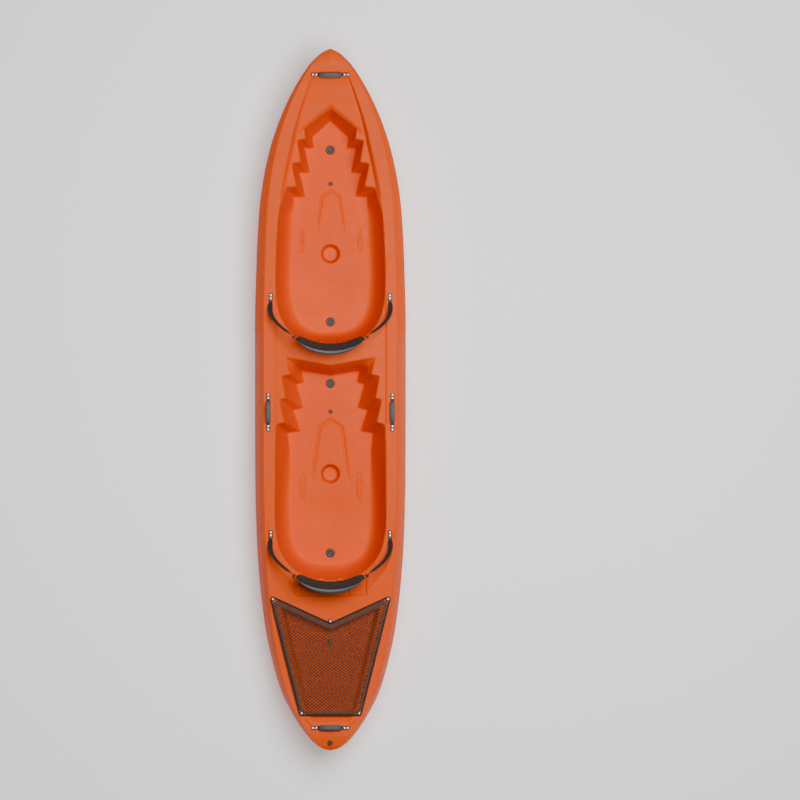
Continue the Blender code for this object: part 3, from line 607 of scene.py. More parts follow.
def deck_field():
    """Height of the deck and its wells over the port half, on an even grid."""
    x, y = np.meshgrid(FIELD_X, FIELD_Y, indexing="ij")
    rim = deck_height(x)
    step_y = np.interp(x, [p[0] for p in RIM_STEP], [p[1] for p in RIM_STEP])
    step_half = np.interp(x, [p[0] for p in RIM_STEP], [p[2] for p in RIM_STEP])
    inside = np.clip((step_y + step_half - y) / (2 * step_half), 0.0, 1.0)

    # bow panel, which slopes down to the toe of the front well, and the ledges beside the foot braces
    panel = np.interp(x, [1.38, 1.560, 1.660, 1.690, 1.700], [0.3215, 0.3560, 0.3800, 0.3895, 0.3990])
    ledge = np.interp(x, [1.00, 1.124, 1.250, 1.400, 1.44], [0.318, 0.3135, 0.3165, 0.3215, 0.3225])
    (x0, y0), (x1, y1) = PANEL_LINE
    length = math.hypot(x1 - x0, y1 - y0)
    past = ((x - x0) * -(y1 - y0) + (y - y0) * (x1 - x0)) / length
    foot = np.maximum(ledge, panel - 0.016)
    bow_level = panel + (foot - panel) * np.clip(past / BEVEL, 0.0, 1.0)
    falling = np.minimum(foot, np.maximum(ledge, foot - 0.4 * (past - BEVEL)))
    bow_level = np.where(past > BEVEL + 0.004, falling, bow_level)
    bow_drop = np.maximum(rim - bow_level, 0.0) * smoothstep(1.030, 1.110, x) * smoothstep(1.7005, 1.694, x)
    mid_drop = 0.0055 * smoothstep(0.60, 0.52, x) * smoothstep(-0.130, -0.127, x) * smoothstep(0.16, 0.285, y)
    level = rim - (bow_drop + mid_drop) * inside
    line = [(p[0], p[1] - 0.002) for p in RIM_STEP if p[0] <= 0.61]
    level += groove(x, y, line, 0.0032, 0.0050) * smoothstep(0.50, 0.44, x)
    line = [(p[0], p[1] - 0.8 * p[2]) for p in RIM_STEP if p[0] >= 0.88]
    level += groove(x, y, line, 0.0034, 0.0050) * smoothstep(0.95, 1.05, x)

    # crown of the bow, ahead of its handle
    ahead = smoothstep(1.735, 1.790, x) * smoothstep(1.846, 1.812, x)
    level += 0.005 * ahead * np.clip(1 - y / np.maximum(deck_edge(x), 0.01), 0.0, 1.0)

    # line and tray round the rear seat
    around = signed_distance(whole(((-0.265, 0.0), *SURROUND)), x, y)
    level -= 0.0042 * smoothstep(-0.003, 0.003, around) * smoothstep(-0.76, -0.86, x)
    level += groove(x, y, SURROUND, 0.0034, 0.0056) * smoothstep(0.002, 0.012, deck_edge(x) - y)
    tray = smoothstep(-1.0335, -1.0305, x) * smoothstep(-0.945, -0.955, x) * smoothstep(0.190, 0.187, y)
    boxes = smoothstep(0.0940, 0.0968, y) * smoothstep(0.1604, 0.1576, y)
    level -= 0.0060 * tray * (1 - boxes)
    for across in (0.0954, 0.1590, 0.1885):
        level += groove(x, y, [(-0.950, across), (-1.032, across)], 0.0026, 0.0042)
    level += groove(x, y, [(-1.690, 0.134), (-1.734, 0.086)], 0.0030, 0.0045)

    z = level
    carve(z, x, y, eased(FRONT_EDGE, 8), eased(FRONT_FLOOR, 8), lambda px: WELL_FLOOR + 0 * px, front_profile)
    carve(z, x, y, eased(REAR_EDGE, 9), eased(REAR_FLOOR, 9), lambda px: WELL_FLOOR + 0 * px, rear_profile)
    carve(z, x, y, TANK_EDGE, TANK_FLOOR, lambda px: line_height(TANK_SLOPE, px), tank_profile)

    # moulded lugs high on the rear wall of each well
    for low, high in LUGS:
        top = deck_height(x) - 0.007
        pad = (
            smoothstep(low - 0.001, low + 0.001, x) * smoothstep(high + 0.001, high - 0.001, x)
            * smoothstep(0.0356, 0.0376, y) * smoothstep(0.0635, 0.0615, y)
        )
        z += np.maximum(top - z, 0.0) * pad

    # lines and ribs moulded in the floors
    for points, half_width in TUNNELS:
        fade = smoothstep(points[2][0], points[1][0], x)
        width = half_width * (0.55 + 0.45 * fade)
        cut = np.exp(-((line_distance(points, x, y) / width) ** 2))
        z -= 0.0075 * cut * smoothstep(points[2][0], points[2][0] + 0.15, x)
    for middle, half_length, centre, half_width in RIBS:
        along = np.clip(1 - ((x - middle) / half_length) ** 2, 0.0, 1.0)
        offset = np.abs(y - centre) - half_width * along
        z -= 0.0040 * np.exp(-((offset / 0.0036) ** 2)) * smoothstep(0.0, 0.3, along)
        z += 0.0022 * smoothstep(0.0, -0.003, offset) * along

    # seats are dished a little
    for middle in (0.590, -0.610):
        z -= 0.0060 * np.exp(-(((x - middle) / 0.085) ** 2) - ((y / 0.13) ** 2))
    return z


def blurred(z, sigma):
    """Rounds every edge by a small Gaussian blur, mirrored at the centreline."""
    reach = int(3 * sigma / CELL) + 1
    kernel = np.exp(-((np.arange(-reach, reach + 1) * CELL / sigma) ** 2) / 2)
    kernel /= kernel.sum()
    padded = np.concatenate([z[:, reach:0:-1], z, np.repeat(z[:, -1:], reach, 1)], axis=1)
    across = sum(w * padded[:, i : i + z.shape[1]] for i, w in enumerate(kernel))
    padded = np.concatenate([np.repeat(across[:1], reach, 0), across, np.repeat(across[-1:], reach, 0)])
    return sum(w * padded[i : i + z.shape[0]] for i, w in enumerate(kernel))


EDGE_SOFTNESS = 0.0014      # sigma of the blur that rounds the moulded edges
FIELD = blurred(deck_field(), EDGE_SOFTNESS)


def surface(x, y):
    """Height of the finished deck at points on either side."""
    u = np.clip((np.asarray(x) - FIELD_X[0]) / CELL, 0, len(FIELD_X) - 1.001)
    v = np.clip(np.abs(y) / CELL, 0, len(FIELD_Y) - 1.001)
    i, j = u.astype(int), v.astype(int)
    a, b = u - i, v - j
    return (
        FIELD[i, j] * (1 - a) * (1 - b) + FIELD[i + 1, j] * a * (1 - b)
        + FIELD[i, j + 1] * (1 - a) * b + FIELD[i + 1, j + 1] * a * b
    )


def stretch(anchors, spacing):
    """Values through the anchors with even steps no longer than the spacing."""
    values = [anchors[0]]
    for low, high in zip(anchors, anchors[1:]):
        steps = max(1, math.ceil((high - low) / spacing - 1e-9))
        values.extend(low + (high - low) * (k + 1) / steps for k in range(steps))
    return np.array(values)


def drill(points, faces, centre, clear, rings):
    """Cuts a round hole. Rings are (radius, height) from the rim inwards; the last may be a centre point."""
    cx, cy = centre
    near = {i for i, p in enumerate(points) if math.hypot(p[0] - cx, p[1] - cy) < clear}
    kept = [f for f in faces if not any(i in near for i in f)]
    cut = [f for f in faces if any(i in near for i in f)]
    inner_edges = set()
    for f in cut:
        for a, b in zip(f, (*f[1:], f[0])):
            if (b, a) in inner_edges:
                inner_edges.discard((b, a))
            else:
                inner_edges.add((a, b))

    def bearing(i):
        return math.atan2(points[i][1] - cy, points[i][0] - cx)

    loop = sorted({i for edge in inner_edges for i in edge}, key=bearing)
    previous = loop
    count = len(loop)
    angles = [bearing(i) for i in loop]
    for radius, height in rings:
        if radius < 1e-6:
            points.append((cx, cy, height))
            kept.extend((previous[k], previous[(k + 1) % count], len(points) - 1) for k in range(count))
            break
        start = len(points)
        for angle in angles:
            x, y = cx + radius * math.cos(angle), cy + radius * math.sin(angle)
            points.append((x, y, height(x, y) if callable(height) else height))
        current = list(range(start, start + count))
        kept.extend(
            (previous[k], previous[(k + 1) % count], current[(k + 1) % count], current[k])
            for k in range(count)
        )
        previous = current
    return kept


CORE = 0.064       # half-width of the even grid along the centreline
CORE_LINES = 18
OUTER_LINES = 67


def deck_lines(x):
    """y of each lengthwise line at x, from the centreline out to the deck's edge."""
    edge = deck_edge(x)
    core = np.minimum(CORE, 0.45 * edge)
    inner = core[:, None] * np.linspace(0, 1, CORE_LINES + 1)[None]
    outer = core[:, None] + (edge - core)[:, None] * np.linspace(0, 1, OUTER_LINES + 1)[None, 1:]
    half = np.concatenate([inner, outer], axis=1)
    return np.concatenate([half[:, :0:-1] * -1, half], axis=1)


BOW_LINES = np.concatenate([stretch([SEAM_X, 1.70], 0.0040), stretch([1.70, 1.80, 1.85], 0.0035)[1:]])
STERN_LINES = np.concatenate([stretch([-1.85, -1.80], 0.0022), stretch([-1.80, SEAM_X], 0.0041)[1:]])


def make_deck(name, lines, material):
    ys = deck_lines(lines)
    zs = surface(lines[:, None] + 0 * ys, ys)
    zs[:, 0] = zs[:, -1] = deck_height(lines)      # meets the sides exactly, and their end faces
    ends = np.abs(lines) > 1.849
    zs[ends] = deck_height(lines[ends])[:, None]
    count = ys.shape[1]
    points = [
        (float(x), float(y), float(z))
        for x, row_y, row_z in zip(lines, ys, zs)
        for y, z in zip(row_y, row_z)
    ]
    faces = []
    for row in range(len(lines) - 1):
        here = row * count
        after = here + count
        faces.extend((here + k, after + k, after + k + 1, here + k + 1) for k in range(count - 1))
    low, high = lines[0], lines[-1]
    for x in CUP_HOLDERS:
        if low < x < high:
            z = WELL_FLOOR
            rings = [
                (0.0550, z), (0.0525, z - 0.0004), (0.0508, z - 0.0018), (0.0495, z - 0.0045),
                (0.0470, z - 0.014), (0.0420, z - 0.033), (0.0378, z - 0.0485), (0.0366, z - 0.0520),
                (0.0345, z - 0.0545), (0.0320, z - 0.0550), (0.0180, z - 0.0550), (0.0, z - 0.0550),
            ]
            faces = drill(points, faces, (x, 0.0), 0.059, rings)
    for x, bore, head, length in SCUPPERS.values():
        if low < x < high:
            z = WELL_FLOOR
            rings = [
                (bore + 0.0045, z), (bore + 0.0020, z - 0.0006), (bore + 0.0005, z - 0.0022),
                (bore, z - 0.0045), (bore, z - 0.025), (bore, 0.058),
            ]
            faces = drill(points, faces, (x, 0.0), bore + 0.0085, rings)
    if low < DRAIN_X < high:
        z = float(deck_height(np.array(DRAIN_X)))
        rings = [
            (0.0130, lambda px, py: float(surface(px, py))), (0.0108, z - 0.0010),
            (DRAIN_BORE, z - 0.0030), (DRAIN_BORE, z - 0.030),
        ]
        faces = drill(points, faces, (DRAIN_X, 0.0), 0.0165, rings)
    used = sorted({i for f in faces for i in f})
    where = {old: new for new, old in enumerate(used)}
    obj = new_mesh(name, [points[i] for i in used], [[where[i] for i in f] for f in faces], material, 60)
    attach(obj, "root")
    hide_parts("hull_shell")
    return obj


def section(x):
    """Half-section of the sides and bottom at each x, from the deck's edge to the keel: arrays of y and z."""
    beam, deck, keel, leaning = half_beam(x), deck_height(x), keel_height(x), lean(x)
    depth = deck - keel
    bow_band = monotone([
        (1.85, 0.012), (1.66, 0.026), (1.45, 0.038), (1.166, 0.050),
        (0.75, 0.066), (0.36, 0.076), (-1.85, 0.076),
    ], x)
    stern_band = monotone([(-1.85, 0.045), (-1.664, 0.074), (-1.2, 0.092), (-0.4, 0.098), (1.85, 0.098)], x)
    band = bow_band + (stern_band - bow_band) * smoothstep(0.378, 0.350, x)
    band = np.minimum(band, 0.36 * depth)
    ledge = 0.0035 * smoothstep(0.05, 0.22, beam)
    corners = [
        (beam - 1.18 * leaning, deck), (beam - 1.04 * leaning, deck - 0.035 * band),
        (beam - 0.55 * leaning, deck - 0.42 * band), (beam, deck - band),
        (beam - ledge, deck - band - 0.6 * ledge - 0.0005), (0.982 * beam, keel + 0.42 * depth),
        (0.935 * beam, keel + 0.20 * depth), (0.82 * beam, keel + 0.085 * depth),
        (0.52 * beam, keel + 0.035 * depth), (0.12 * beam, keel), (0.0 * beam, keel),
    ]
    segments = (2, 5, 8, 2, 13, 11, 9, 9, 9, 6)
    ys, zs = [corners[0][0]], [corners[0][1]]
    for (y0, z0), (y1, z1), steps in zip(corners, corners[1:], segments):
        for k in range(1, steps + 1):
            ys.append(y0 + (y1 - y0) * k / steps)
            zs.append(z0 + (z1 - z0) * k / steps)
    ys, zs = np.array(ys), np.array(zs)
    first = sum(segments[:4]) + 1
    for _ in range(5):
        for rows in (ys, zs):
            rows[first:-1] = (rows[first - 1 : -2] + 2 * rows[first:-1] + rows[first + 1 :]) / 4
    return ys, zs


def scoops(x, z):
    """Depth of the two channels moulded low on each side, towards the stern."""
    share = np.clip((-0.72 - x) / 0.56, 0.0, 1.0)
    middle = 0.050 + 0.052 * share ** 1.3
    height = 0.004 + 0.015 * share
    first = 0.013 * share * smoothstep(-1.285, -1.235, x) * np.exp(-(((z - middle) / height) ** 2))
    share = np.clip((-1.44 - x) / 0.31, 0.0, 1.0)
    middle = 0.118 + 0.062 * share
    height = 0.020 - 0.008 * share
    along = smoothstep(-1.44, -1.49, x) * smoothstep(-1.76, -1.62, x)
    second = 0.012 * along * np.exp(-(((z - middle) / height) ** 2))
    return first + second


def make_sides(name, material):
    lines = np.concatenate([STERN_LINES, BOW_LINES[1:]])
    lines = lines[(np.arange(len(lines)) % 2 == 0) | (np.abs(lines) > 1.62)]
    ys, zs = section(lines)
    ys = ys - scoops(lines[None], zs) * smoothstep(0.0, 0.05, ys)
    ys, zs = ys.T, zs.T
    ys = np.concatenate([ys, -ys[:, -2::-1]], axis=1)
    zs = np.concatenate([zs, zs[:, -2::-1]], axis=1)
    count = ys.shape[1]
    points = [
        (float(x), float(y), float(z)) for x, row_y, row_z in zip(lines, ys, zs) for y, z in zip(row_y, row_z)
    ]
    faces = []
    for row in range(len(lines) - 1):
        here = row * count
        after = here + count
        faces.extend((here + k, after + k, after + k + 1, here + k + 1) for k in range(count - 1))
    faces.append(tuple(reversed(range(count))))
    faces.append(tuple(range((len(lines) - 1) * count, len(lines) * count)))
    low_points = {i for i, p in enumerate(points) if p[2] < 0.06 and abs(p[1]) < 0.10}
    for x, bore, head, length in SCUPPERS.values():
        z = float(keel_height(np.array(x)))
        rings = [
            (bore + 0.0055, z), (bore + 0.0022, z + 0.0006), (bore + 0.0005, z + 0.0024),
            (bore, z + 0.0050), (bore, z + 0.030), (bore, 0.058),
        ]
        local = [f for f in faces if len(f) == 4 and all(i in low_points for i in f)]
        rest = [f for f in faces if not (len(f) == 4 and all(i in low_points for i in f))]
        faces = rest + drill(points, local, (x, 0.0), bore + 0.010, rings)
    used = sorted({i for f in faces for i in f})
    where = {old: new for new, old in enumerate(used)}
    obj = new_mesh(name, [points[i] for i in used], [[where[i] for i in f] for f in faces], material, 28)
    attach(obj, "root")
    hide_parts("hull_shell")
    return obj


make_deck("hull_deck_bow", BOW_LINES, HULL)
make_deck("hull_deck_stern", STERN_LINES, HULL)
make_sides("hull_sides", HULL)


# ---------------------------------------------------------------- fittings
GAP = 0.0003
HANDLES = {  # x, y, turn in degrees, width of the grip
    "bow": (1.714, 0.000, 90, 0.030),
    "stern": (-1.730, 0.000, 90, 0.028),
    "port": (-0.064, 0.328, 0, 0.025),
    "starboard": (-0.064, -0.328, 0, 0.025),
}
GRIP_HALF = 0.0610
GRIP_THICK = 0.0170
CAP_MIDDLE = 0.0830
CAP_HALF = (0.0178, 0.0108)
CAP_SCREWS = (0.0740, 0.0920)
SCREW_RADIUS = 0.0058
SCREW_RISE = 0.0024
SCREW_LINES = (
    -1.0, -0.94, -0.82, -0.64, -0.46, -0.42, -0.26, -0.13, -0.10, 0.0,
    0.10, 0.13, 0.26, 0.42, 0.46, 0.64, 0.82, 0.94, 1.0,
)
SEATS = {"front": 0.287, "rear": -0.966}
SIDES = {"port": 1, "starboard": -1}
PIVOT_Z = 0.331
BACK_RADIUS = 0.330
BACK_LEAN = math.radians(10)
BACK_HEIGHT = 0.172
BACK_SPREAD = math.radians(33.5)
BACK_SHELL = 0.004
FOOT_RISE = 0.014
STRAP_HEIGHT = 0.128
BUCKLE_TURN = 0.050
EYE_PLACE = (0.256, 0.315)


def set_piece(obj, body, slot, *nodes):
    if body:
        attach(obj, body)
    if nodes:
        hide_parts(*nodes)
    return obj


def deck_frame(x, y, turn=0.0, lift=0.0):
    """Place standing on the deck, tilted with it and turned about its normal."""
    ends = deck_height(np.array([x - 0.01, x, x + 0.01]))
    tilt = math.atan2(ends[2] - ends[0], 0.02)
    return (
        Matrix.Translation((x, y, ends[1]))
        @ Matrix.Rotation(-tilt, 4, "Y")
        @ Matrix.Translation((0.0, 0.0, lift))
        @ Matrix.Rotation(math.radians(turn), 4, "Z")
    )


def rounded_outline(half_x, half_y, corner, steps=6):
    """Anticlockwise outline of a rounded rectangle."""
    points = []
    for quarter, (sx, sy) in enumerate(((1, 1), (-1, 1), (-1, -1), (1, -1))):
        for step in range(steps + 1):
            angle = math.radians(90 * (quarter + step / steps))
            points.append((
                sx * (half_x - corner) + corner * math.cos(angle),
                sy * (half_y - corner) + corner * math.sin(angle),
            ))
    return points


def moulding(solid, place, half_x, half_y, corner, layers):
    """A rounded plate. Layers are (how far in, height), from its foot to its middle."""
    rings = []
    for inset, z in layers:
        outline = rounded_outline(half_x - inset, half_y - inset, max(corner - inset, 0.0004))
        rings.append([place @ Vector((x, y, z)) for x, y in outline])
    solid.loft(rings)


def add_screw(solid, place, size=1.0):
    """Pan head with a cross recess."""
    count = len(SCREW_LINES)
    radius, rise = SCREW_RADIUS * size, SCREW_RISE * size
    points = []
    for u in SCREW_LINES:
        for v in SCREW_LINES:
            x, y = radius * u * math.sqrt(1 - v * v / 2), radius * v * math.sqrt(1 - u * u / 2)
            z = rise * (1 - 0.8 * min(math.hypot(x, y) / radius, 1.0) ** 5)
            narrow, wide = sorted((abs(u), abs(v)))
            if narrow <= 0.10 and wide <= 0.42:
                z -= 0.0011 * size
            points.append((x, y, z))
    faces = []
    for row in range(count - 1):
        for column in range(count - 1):
            start = row * count + column
            faces.append((start, start + count, start + count + 1, start + 1))
    last = count - 1
    rim = [row * count for row in range(count)]
    rim += [last * count + column for column in range(1, count)]
    rim += [row * count + last for row in range(last - 1, -1, -1)]
    rim += [column for column in range(last - 1, 0, -1)]
    skirt = len(points)
    points.extend((points[i][0], points[i][1], -0.0008) for i in rim)
    for k in range(len(rim)):
        following = (k + 1) % len(rim)
        faces.append((rim[k], skirt + k, skirt + following, rim[following]))
    faces.append(tuple(range(skirt + len(rim) - 1, skirt - 1, -1)))
    solid.add([place @ Vector(p) for p in points], faces)


def make_plugs():
    for name, (x, bore, head, length) in SCUPPERS.items():
        size = head / 0.024
        stem = bore - 0.0006
        dome = [
            (0.0, 0.0040), (0.0030, 0.0040), (0.0042, 0.0034), (0.0050, 0.0026), (0.0066, 0.0024),
            (0.0095, 0.0032), (0.0122, 0.0050), (0.0142, 0.0063), (0.0160, 0.0067), (0.0182, 0.0065),
            (0.0205, 0.0056), (0.0224, 0.0041), (0.0236, 0.0024), (0.0240, 0.0012),
        ]
        profile = [(r * size, z * size) for r, z in dome]
        profile += [(head, 0.0006), (head - 0.0004, GAP), (stem, GAP), (stem, -0.004)]
        ribs = 3 if bore > 0.01 else 2
        for rib in range(ribs):
            top = -0.004 - 0.7 * length * rib / ribs
            pitch = 0.7 * length / ribs
            profile += [
                (stem, top - 0.30 * pitch), (stem - 0.0010, top - 0.42 * pitch),
                (stem - 0.0010, top - 0.80 * pitch), (stem, top - 0.95 * pitch),
            ]
        profile += [(0.86 * stem, -0.97 * length), (0.80 * stem, -length), (0.0, -length)]
        solid = Solid()
        solid.turn(profile, 56, Matrix.Translation((x, 0.0, WELL_FLOOR)))
        plug = solid.object(f"scupper_plug_{name}_dome", PLUG_RUBBER, 40)
        set_piece(plug, f"scupper_plug_{name}", "plug_rubber", f"scupper_plug_{name}")


def make_drain():
    z = float(deck_height(np.array(DRAIN_X))) + 0.0052
    place = Matrix.Translation((DRAIN_X, 0.0, z))
    hole = 0.0073
    flange = Solid()
    flange.turn(
        [(hole, -0.0002), (hole + 0.0003, 0.0), (0.0122, 0.0), (0.0128, -0.0003), (0.0130, -0.0009),
         (0.0129, -0.0052), (0.0094, -0.0060), (0.0094, -0.022), (hole, -0.022), (hole, -0.0002)],
        48, place,
    )
    set_piece(flange.object("drain_flange", NYLON, 40), "root", "hard_plastic", "drain_socket")
    seal = Solid()
    seal.turn(
        [(hole, 0.0014), (hole + 0.0006, 0.0018), (0.0112, 0.0018), (0.0118, 0.0013), (0.0118, 0.0007),
         (0.0113, GAP), (hole, GAP), (hole, 0.0014)],
        48, place,
    )
    set_piece(seal.object("drain_ring", SEAL_RUBBER, 40), "drain_plug", "plug_rubber", "drain_seal")
    cap = Solid()
    sides = 96
    rows = [
        (0.0, 0.0096, 0), (0.0070, 0.0096, 0), (0.0076, 0.0100, 0), (0.0080, 0.0124, 0), (0.0087, 0.0133, 0),
        (0.0100, 0.0135, 0), (0.0116, 0.0131, 0.3), (0.0123, 0.0122, 1), (0.0125, 0.0105, 1),
        (0.0125, 0.0048, 1), (0.0123, 0.0034, 1), (0.0112, 0.0022, 0), (0.0070, 0.0021, 0),
        (0.0070, -0.0172, 0), (0.0060, -0.0196, 0), (0.0, -0.0198, 0),
    ]
    rings = []
    for radius, height, flute in rows:
        ring = []
        for side in range(sides):
            angle = math.tau * side / sides
            reach = max(radius, 0.00002) * (1 - 0.055 * flute * (0.5 - 0.5 * math.cos(16 * angle)))
            ring.append(place @ Vector((reach * math.cos(-angle), reach * math.sin(-angle), height)))
        rings.append(ring)
    cap.loft(rings)
    cap.block((0.0150, 0.0034, 0.0036), place @ Matrix.Translation((0, 0, 0.0112)), 0.0010)
    set_piece(cap.object("drain_cap", NYLON, 32), "drain_plug", "hard_plastic", "drain_plug")


def grip_object(name, place, width):
    """A moulded rubber grip: a rounded bar with a groove near each end and soft finger waves below."""
    stations = sorted({
        round(sign * x, 5)
        for sign in (1, -1)
        for x in (0.0, 0.006, 0.012, 0.018, 0.024, 0.030, 0.036, 0.041, 0.0445, 0.0458, 0.0466, 0.0474,
                  0.0482, 0.0495, 0.0520, 0.0545, 0.0570, 0.0588, 0.0600, 0.0607, 0.0610)
    })
    sides = 32
    rings = []
    for x in stations:
        reach = abs(x) / GRIP_HALF
        height = 0.025 - 0.012 * reach ** 3
        end = max(0.0, (abs(x) - 0.0545) / 0.0067)
        swell = (1.0 - 0.06 * reach ** 4) * math.sqrt(max(1 - end ** 2, 0.03))
        groove_depth = 0.0010 * math.exp(-(((abs(x) - 0.0470) / 0.0011) ** 2))
        ring = []
        for side in range(sides):
            angle = math.tau * (side + 0.5) / sides
            across = abs(math.cos(angle)) ** 0.50 * math.copysign(1, math.cos(angle))
            up = abs(math.sin(angle)) ** 0.60 * math.copysign(1, math.sin(angle))
            half_width = width / 2 * swell - groove_depth
            half_thick = GRIP_THICK / 2 * swell - groove_depth
            wave = 0.0008 * math.cos(math.tau * x / 0.024) * max(-up, 0) * (1 - reach ** 2)
            ring.append(place @ Vector((x, half_width * across, height + half_thick * up + wave)))
        rings.append(ring)
    solid = Solid()
    solid.loft(rings)
    return solid.object(name, GRIP_RUBBER, 50)


def make_handle(name, x, y, turn, width):
    body = f"{name}_handle"
    moving = deck_frame(x, y, turn)
    fixed = deck_frame(x, y, turn, GAP)
    grip = grip_object(f"{body}_bar", moving, width)
    set_piece(grip, body, "grip_rubber", f"{body}_grip")
    for label, side in (("a", 1), ("b", -1)):
        path = [
            (0.0530, 0.0140), (0.0570, 0.0136), (0.0600, 0.0126), (0.0620, 0.0112), (0.0634, 0.0092),
            (0.0645, 0.0070), (0.0656, 0.0052), (0.0672, 0.0042), (0.0700, 0.0038), (0.0740, 0.0037),
        ]
        centres = [moving @ Vector((side * px, 0.0, pz)) for px, pz in path]
        across = (moving.to_3x3() @ Vector((0.0, 1.0, 0.0))).normalized()
        leg = webbing(f"{body}_leg_{label}", centres, [across] * len(path), 0.0165, 0.0026, WEBBING)
        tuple(centres[2])
        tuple(centres[7])
        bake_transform(leg)
        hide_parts(f"{body}_strap")
        cap = Solid()
        seat = fixed @ Matrix.Translation((side * CAP_MIDDLE, 0.0, 0.0))
        moulding(cap, seat, *CAP_HALF, 0.0062, (
            (0.0005, 0.0), (0.0, 0.0006), (0.0002, 0.0038), (0.0007, 0.0051), (0.0016, 0.0059),
            (0.0027, 0.0060), (0.0034, 0.0058), (0.0040, 0.0053), (0.0060, 0.0052),
        ))
        cap_object = cap.object(f"{body}_end_{label}", NYLON, 40)
        set_piece(cap_object, "root", "hard_plastic", f"{body}_cap_{label}")
        screws = Solid()
        for number, screw_x in enumerate(CAP_SCREWS):
            spin = Matrix.Rotation(0.5 + 1.1 * number + side, 4, "Z")
            add_screw(screws, fixed @ Matrix.Translation((side * screw_x, 0.0, 0.0054)) @ spin)
        steel = screws.object(f"{body}_screws_{label}", STEEL, 35)
        set_piece(steel, "root", None, f"{body}_cap_{label}")


# ---------------------------------------------------------------- backrests
def back_point(angle, height, offset):
    """A point of the curved back before it leans. Offset is towards the sitter."""
    radius = BACK_RADIUS - offset
    return Vector((BACK_RADIUS - radius * math.cos(angle), radius * math.sin(angle), height))


def back_width(share):
    return BACK_SPREAD * (1.0 - 0.42 * abs((share - 0.62) / 0.62) ** 2.4)


def even(low, high, count, ends=()):
    """Even steps from low to high, with closer ones near both ends."""
    values = set(np.linspace(low, high, count))
    for step in ends:
        values |= {low + step, high - step}
    return sorted(values)


def slab(name, us, vs, place, material, smooth_angle=40):
    """A closed slab. place(u, v, side) is a point of its front, for side 1, or of its back, for -1."""
    count = len(us)
    sheet = len(us) * len(vs)
    points = [place(u, v, side) for side in (1, -1) for v in vs for u in us]
    faces = []
    for row in range(len(vs) - 1):
        for column in range(count - 1):
            a = row * count + column
            faces.append((a, a + 1, a + count + 1, a + count))
            faces.append((sheet + a, sheet + a + count, sheet + a + count + 1, sheet + a + 1))
    border = list(range(count)) + [row * count + count - 1 for row in range(1, len(vs))]
    border += [sheet - 2 - k for k in range(count - 1)]
    border += [row * count for row in range(len(vs) - 2, 0, -1)]
    for k, here in enumerate(border):
        after = border[(k + 1) % len(border)]
        faces.append((here, sheet + here, sheet + after, after))
    solid = Solid()
    solid.add(points, faces)
    return solid.object(name, material, smooth_angle)


def rounded_share(distance, radius):
    """How much of its full thickness a slab has this far from its edge."""
    inward = min(max(distance / radius, 0.0), 1.0)
    return math.sqrt(max(1 - (1 - inward) ** 2, 0.02))


LIP = (  # offset and height along the middle of the rolled top edge
    (0.0020, 0.1590), (0.0016, 0.1625), (0.0002, 0.1655), (-0.0026, 0.1682), (-0.0062, 0.1697),
    (-0.0102, 0.1701), (-0.0142, 0.1694), (-0.0174, 0.1678), (-0.0192, 0.1654), (-0.0198, 0.1632),
)
SHELL_ROWS = [(0.0020, z) for z in even(0.0012, 0.1555, 22, (0.0008, 0.0024))] + list(LIP)


def shell_object(name):
    rows = SHELL_ROWS
    lengths = [0.0]
    for (o0, z0), (o1, z1) in zip(rows, rows[1:]):
        lengths.append(lengths[-1] + math.hypot(o1 - o0, z1 - z0))

    def place(u, row, side):
        offset, height = rows[row]
        before, after = rows[max(row - 1, 0)], rows[min(row + 1, len(rows) - 1)]
        along = Vector((after[0] - before[0], after[1] - before[1])).normalized()
        reach = back_width(height / BACK_HEIGHT) if height < 0.1655 else back_width(0.1655 / BACK_HEIGHT)
        if row > 26:
            reach -= 0.012 * ((row - 26) / (len(rows) - 27)) ** 2
        edge = min(lengths[row], lengths[-1] - lengths[row], (1 - abs(u)) * reach * BACK_RADIUS)
        foot = math.exp(-((height / 0.008) ** 2))
        if offset < 0.002:
            offset = 0.002 + (offset - 0.002) * (1 - abs(u) ** 2.6)
        half = (0.0020 + 0.0012 * foot) * rounded_share(edge, 0.0020)
        rib = 0.0
        if side < 0 and 0.02 < height < 0.150:
            rise = math.sin(math.pi * (height - 0.02) / 0.13)
            rib = 0.0012 * math.exp(-(((abs(u) - 0.55) / 0.035) ** 2)) * rise
        lifted = height + FOOT_RISE * u * u * max(0.0, 1 - height / 0.16)
        return back_point(
            reach * u, lifted - along.x * half * side, offset + along.y * half * side - rib
        )

    us = even(-1.0, 1.0, 61, (0.003, 0.009))
    return slab(name, us, range(len(rows)), place, SHELL_PLASTIC, 50)


PAD_LOW, PAD_HIGH = 0.0375, 0.1545
PAD_BACK = 0.0058
PAD_FULL = 0.0125
CHANNELS = (0.0670, 0.0960, 0.1250)


def pad_reach(height):
    """Half-angle of the pad, with its corners rounded off."""
    reach = back_width(height / BACK_HEIGHT) - 0.010
    for corner, sign in ((PAD_LOW, 1), (PAD_HIGH, -1)):
        near = max(0.0, 1 - sign * (height - corner) / 0.022)
        reach -= 0.062 * (1 - math.sqrt(max(0.0, 1 - near * near)))
    return reach


def pad_place(u, height, side, full=PAD_FULL):
    reach = pad_reach(height)
    edge = min(height - PAD_LOW, PAD_HIGH - height, (1 - abs(u)) * reach * BACK_RADIUS)
    thick = full * rounded_share(edge, 0.009)
    middle = PAD_BACK + 0.0035
    offset = middle - 0.0035 * rounded_share(edge, 0.004) if side < 0 else middle - 0.0035 + thick
    return back_point(reach * u, height, offset)


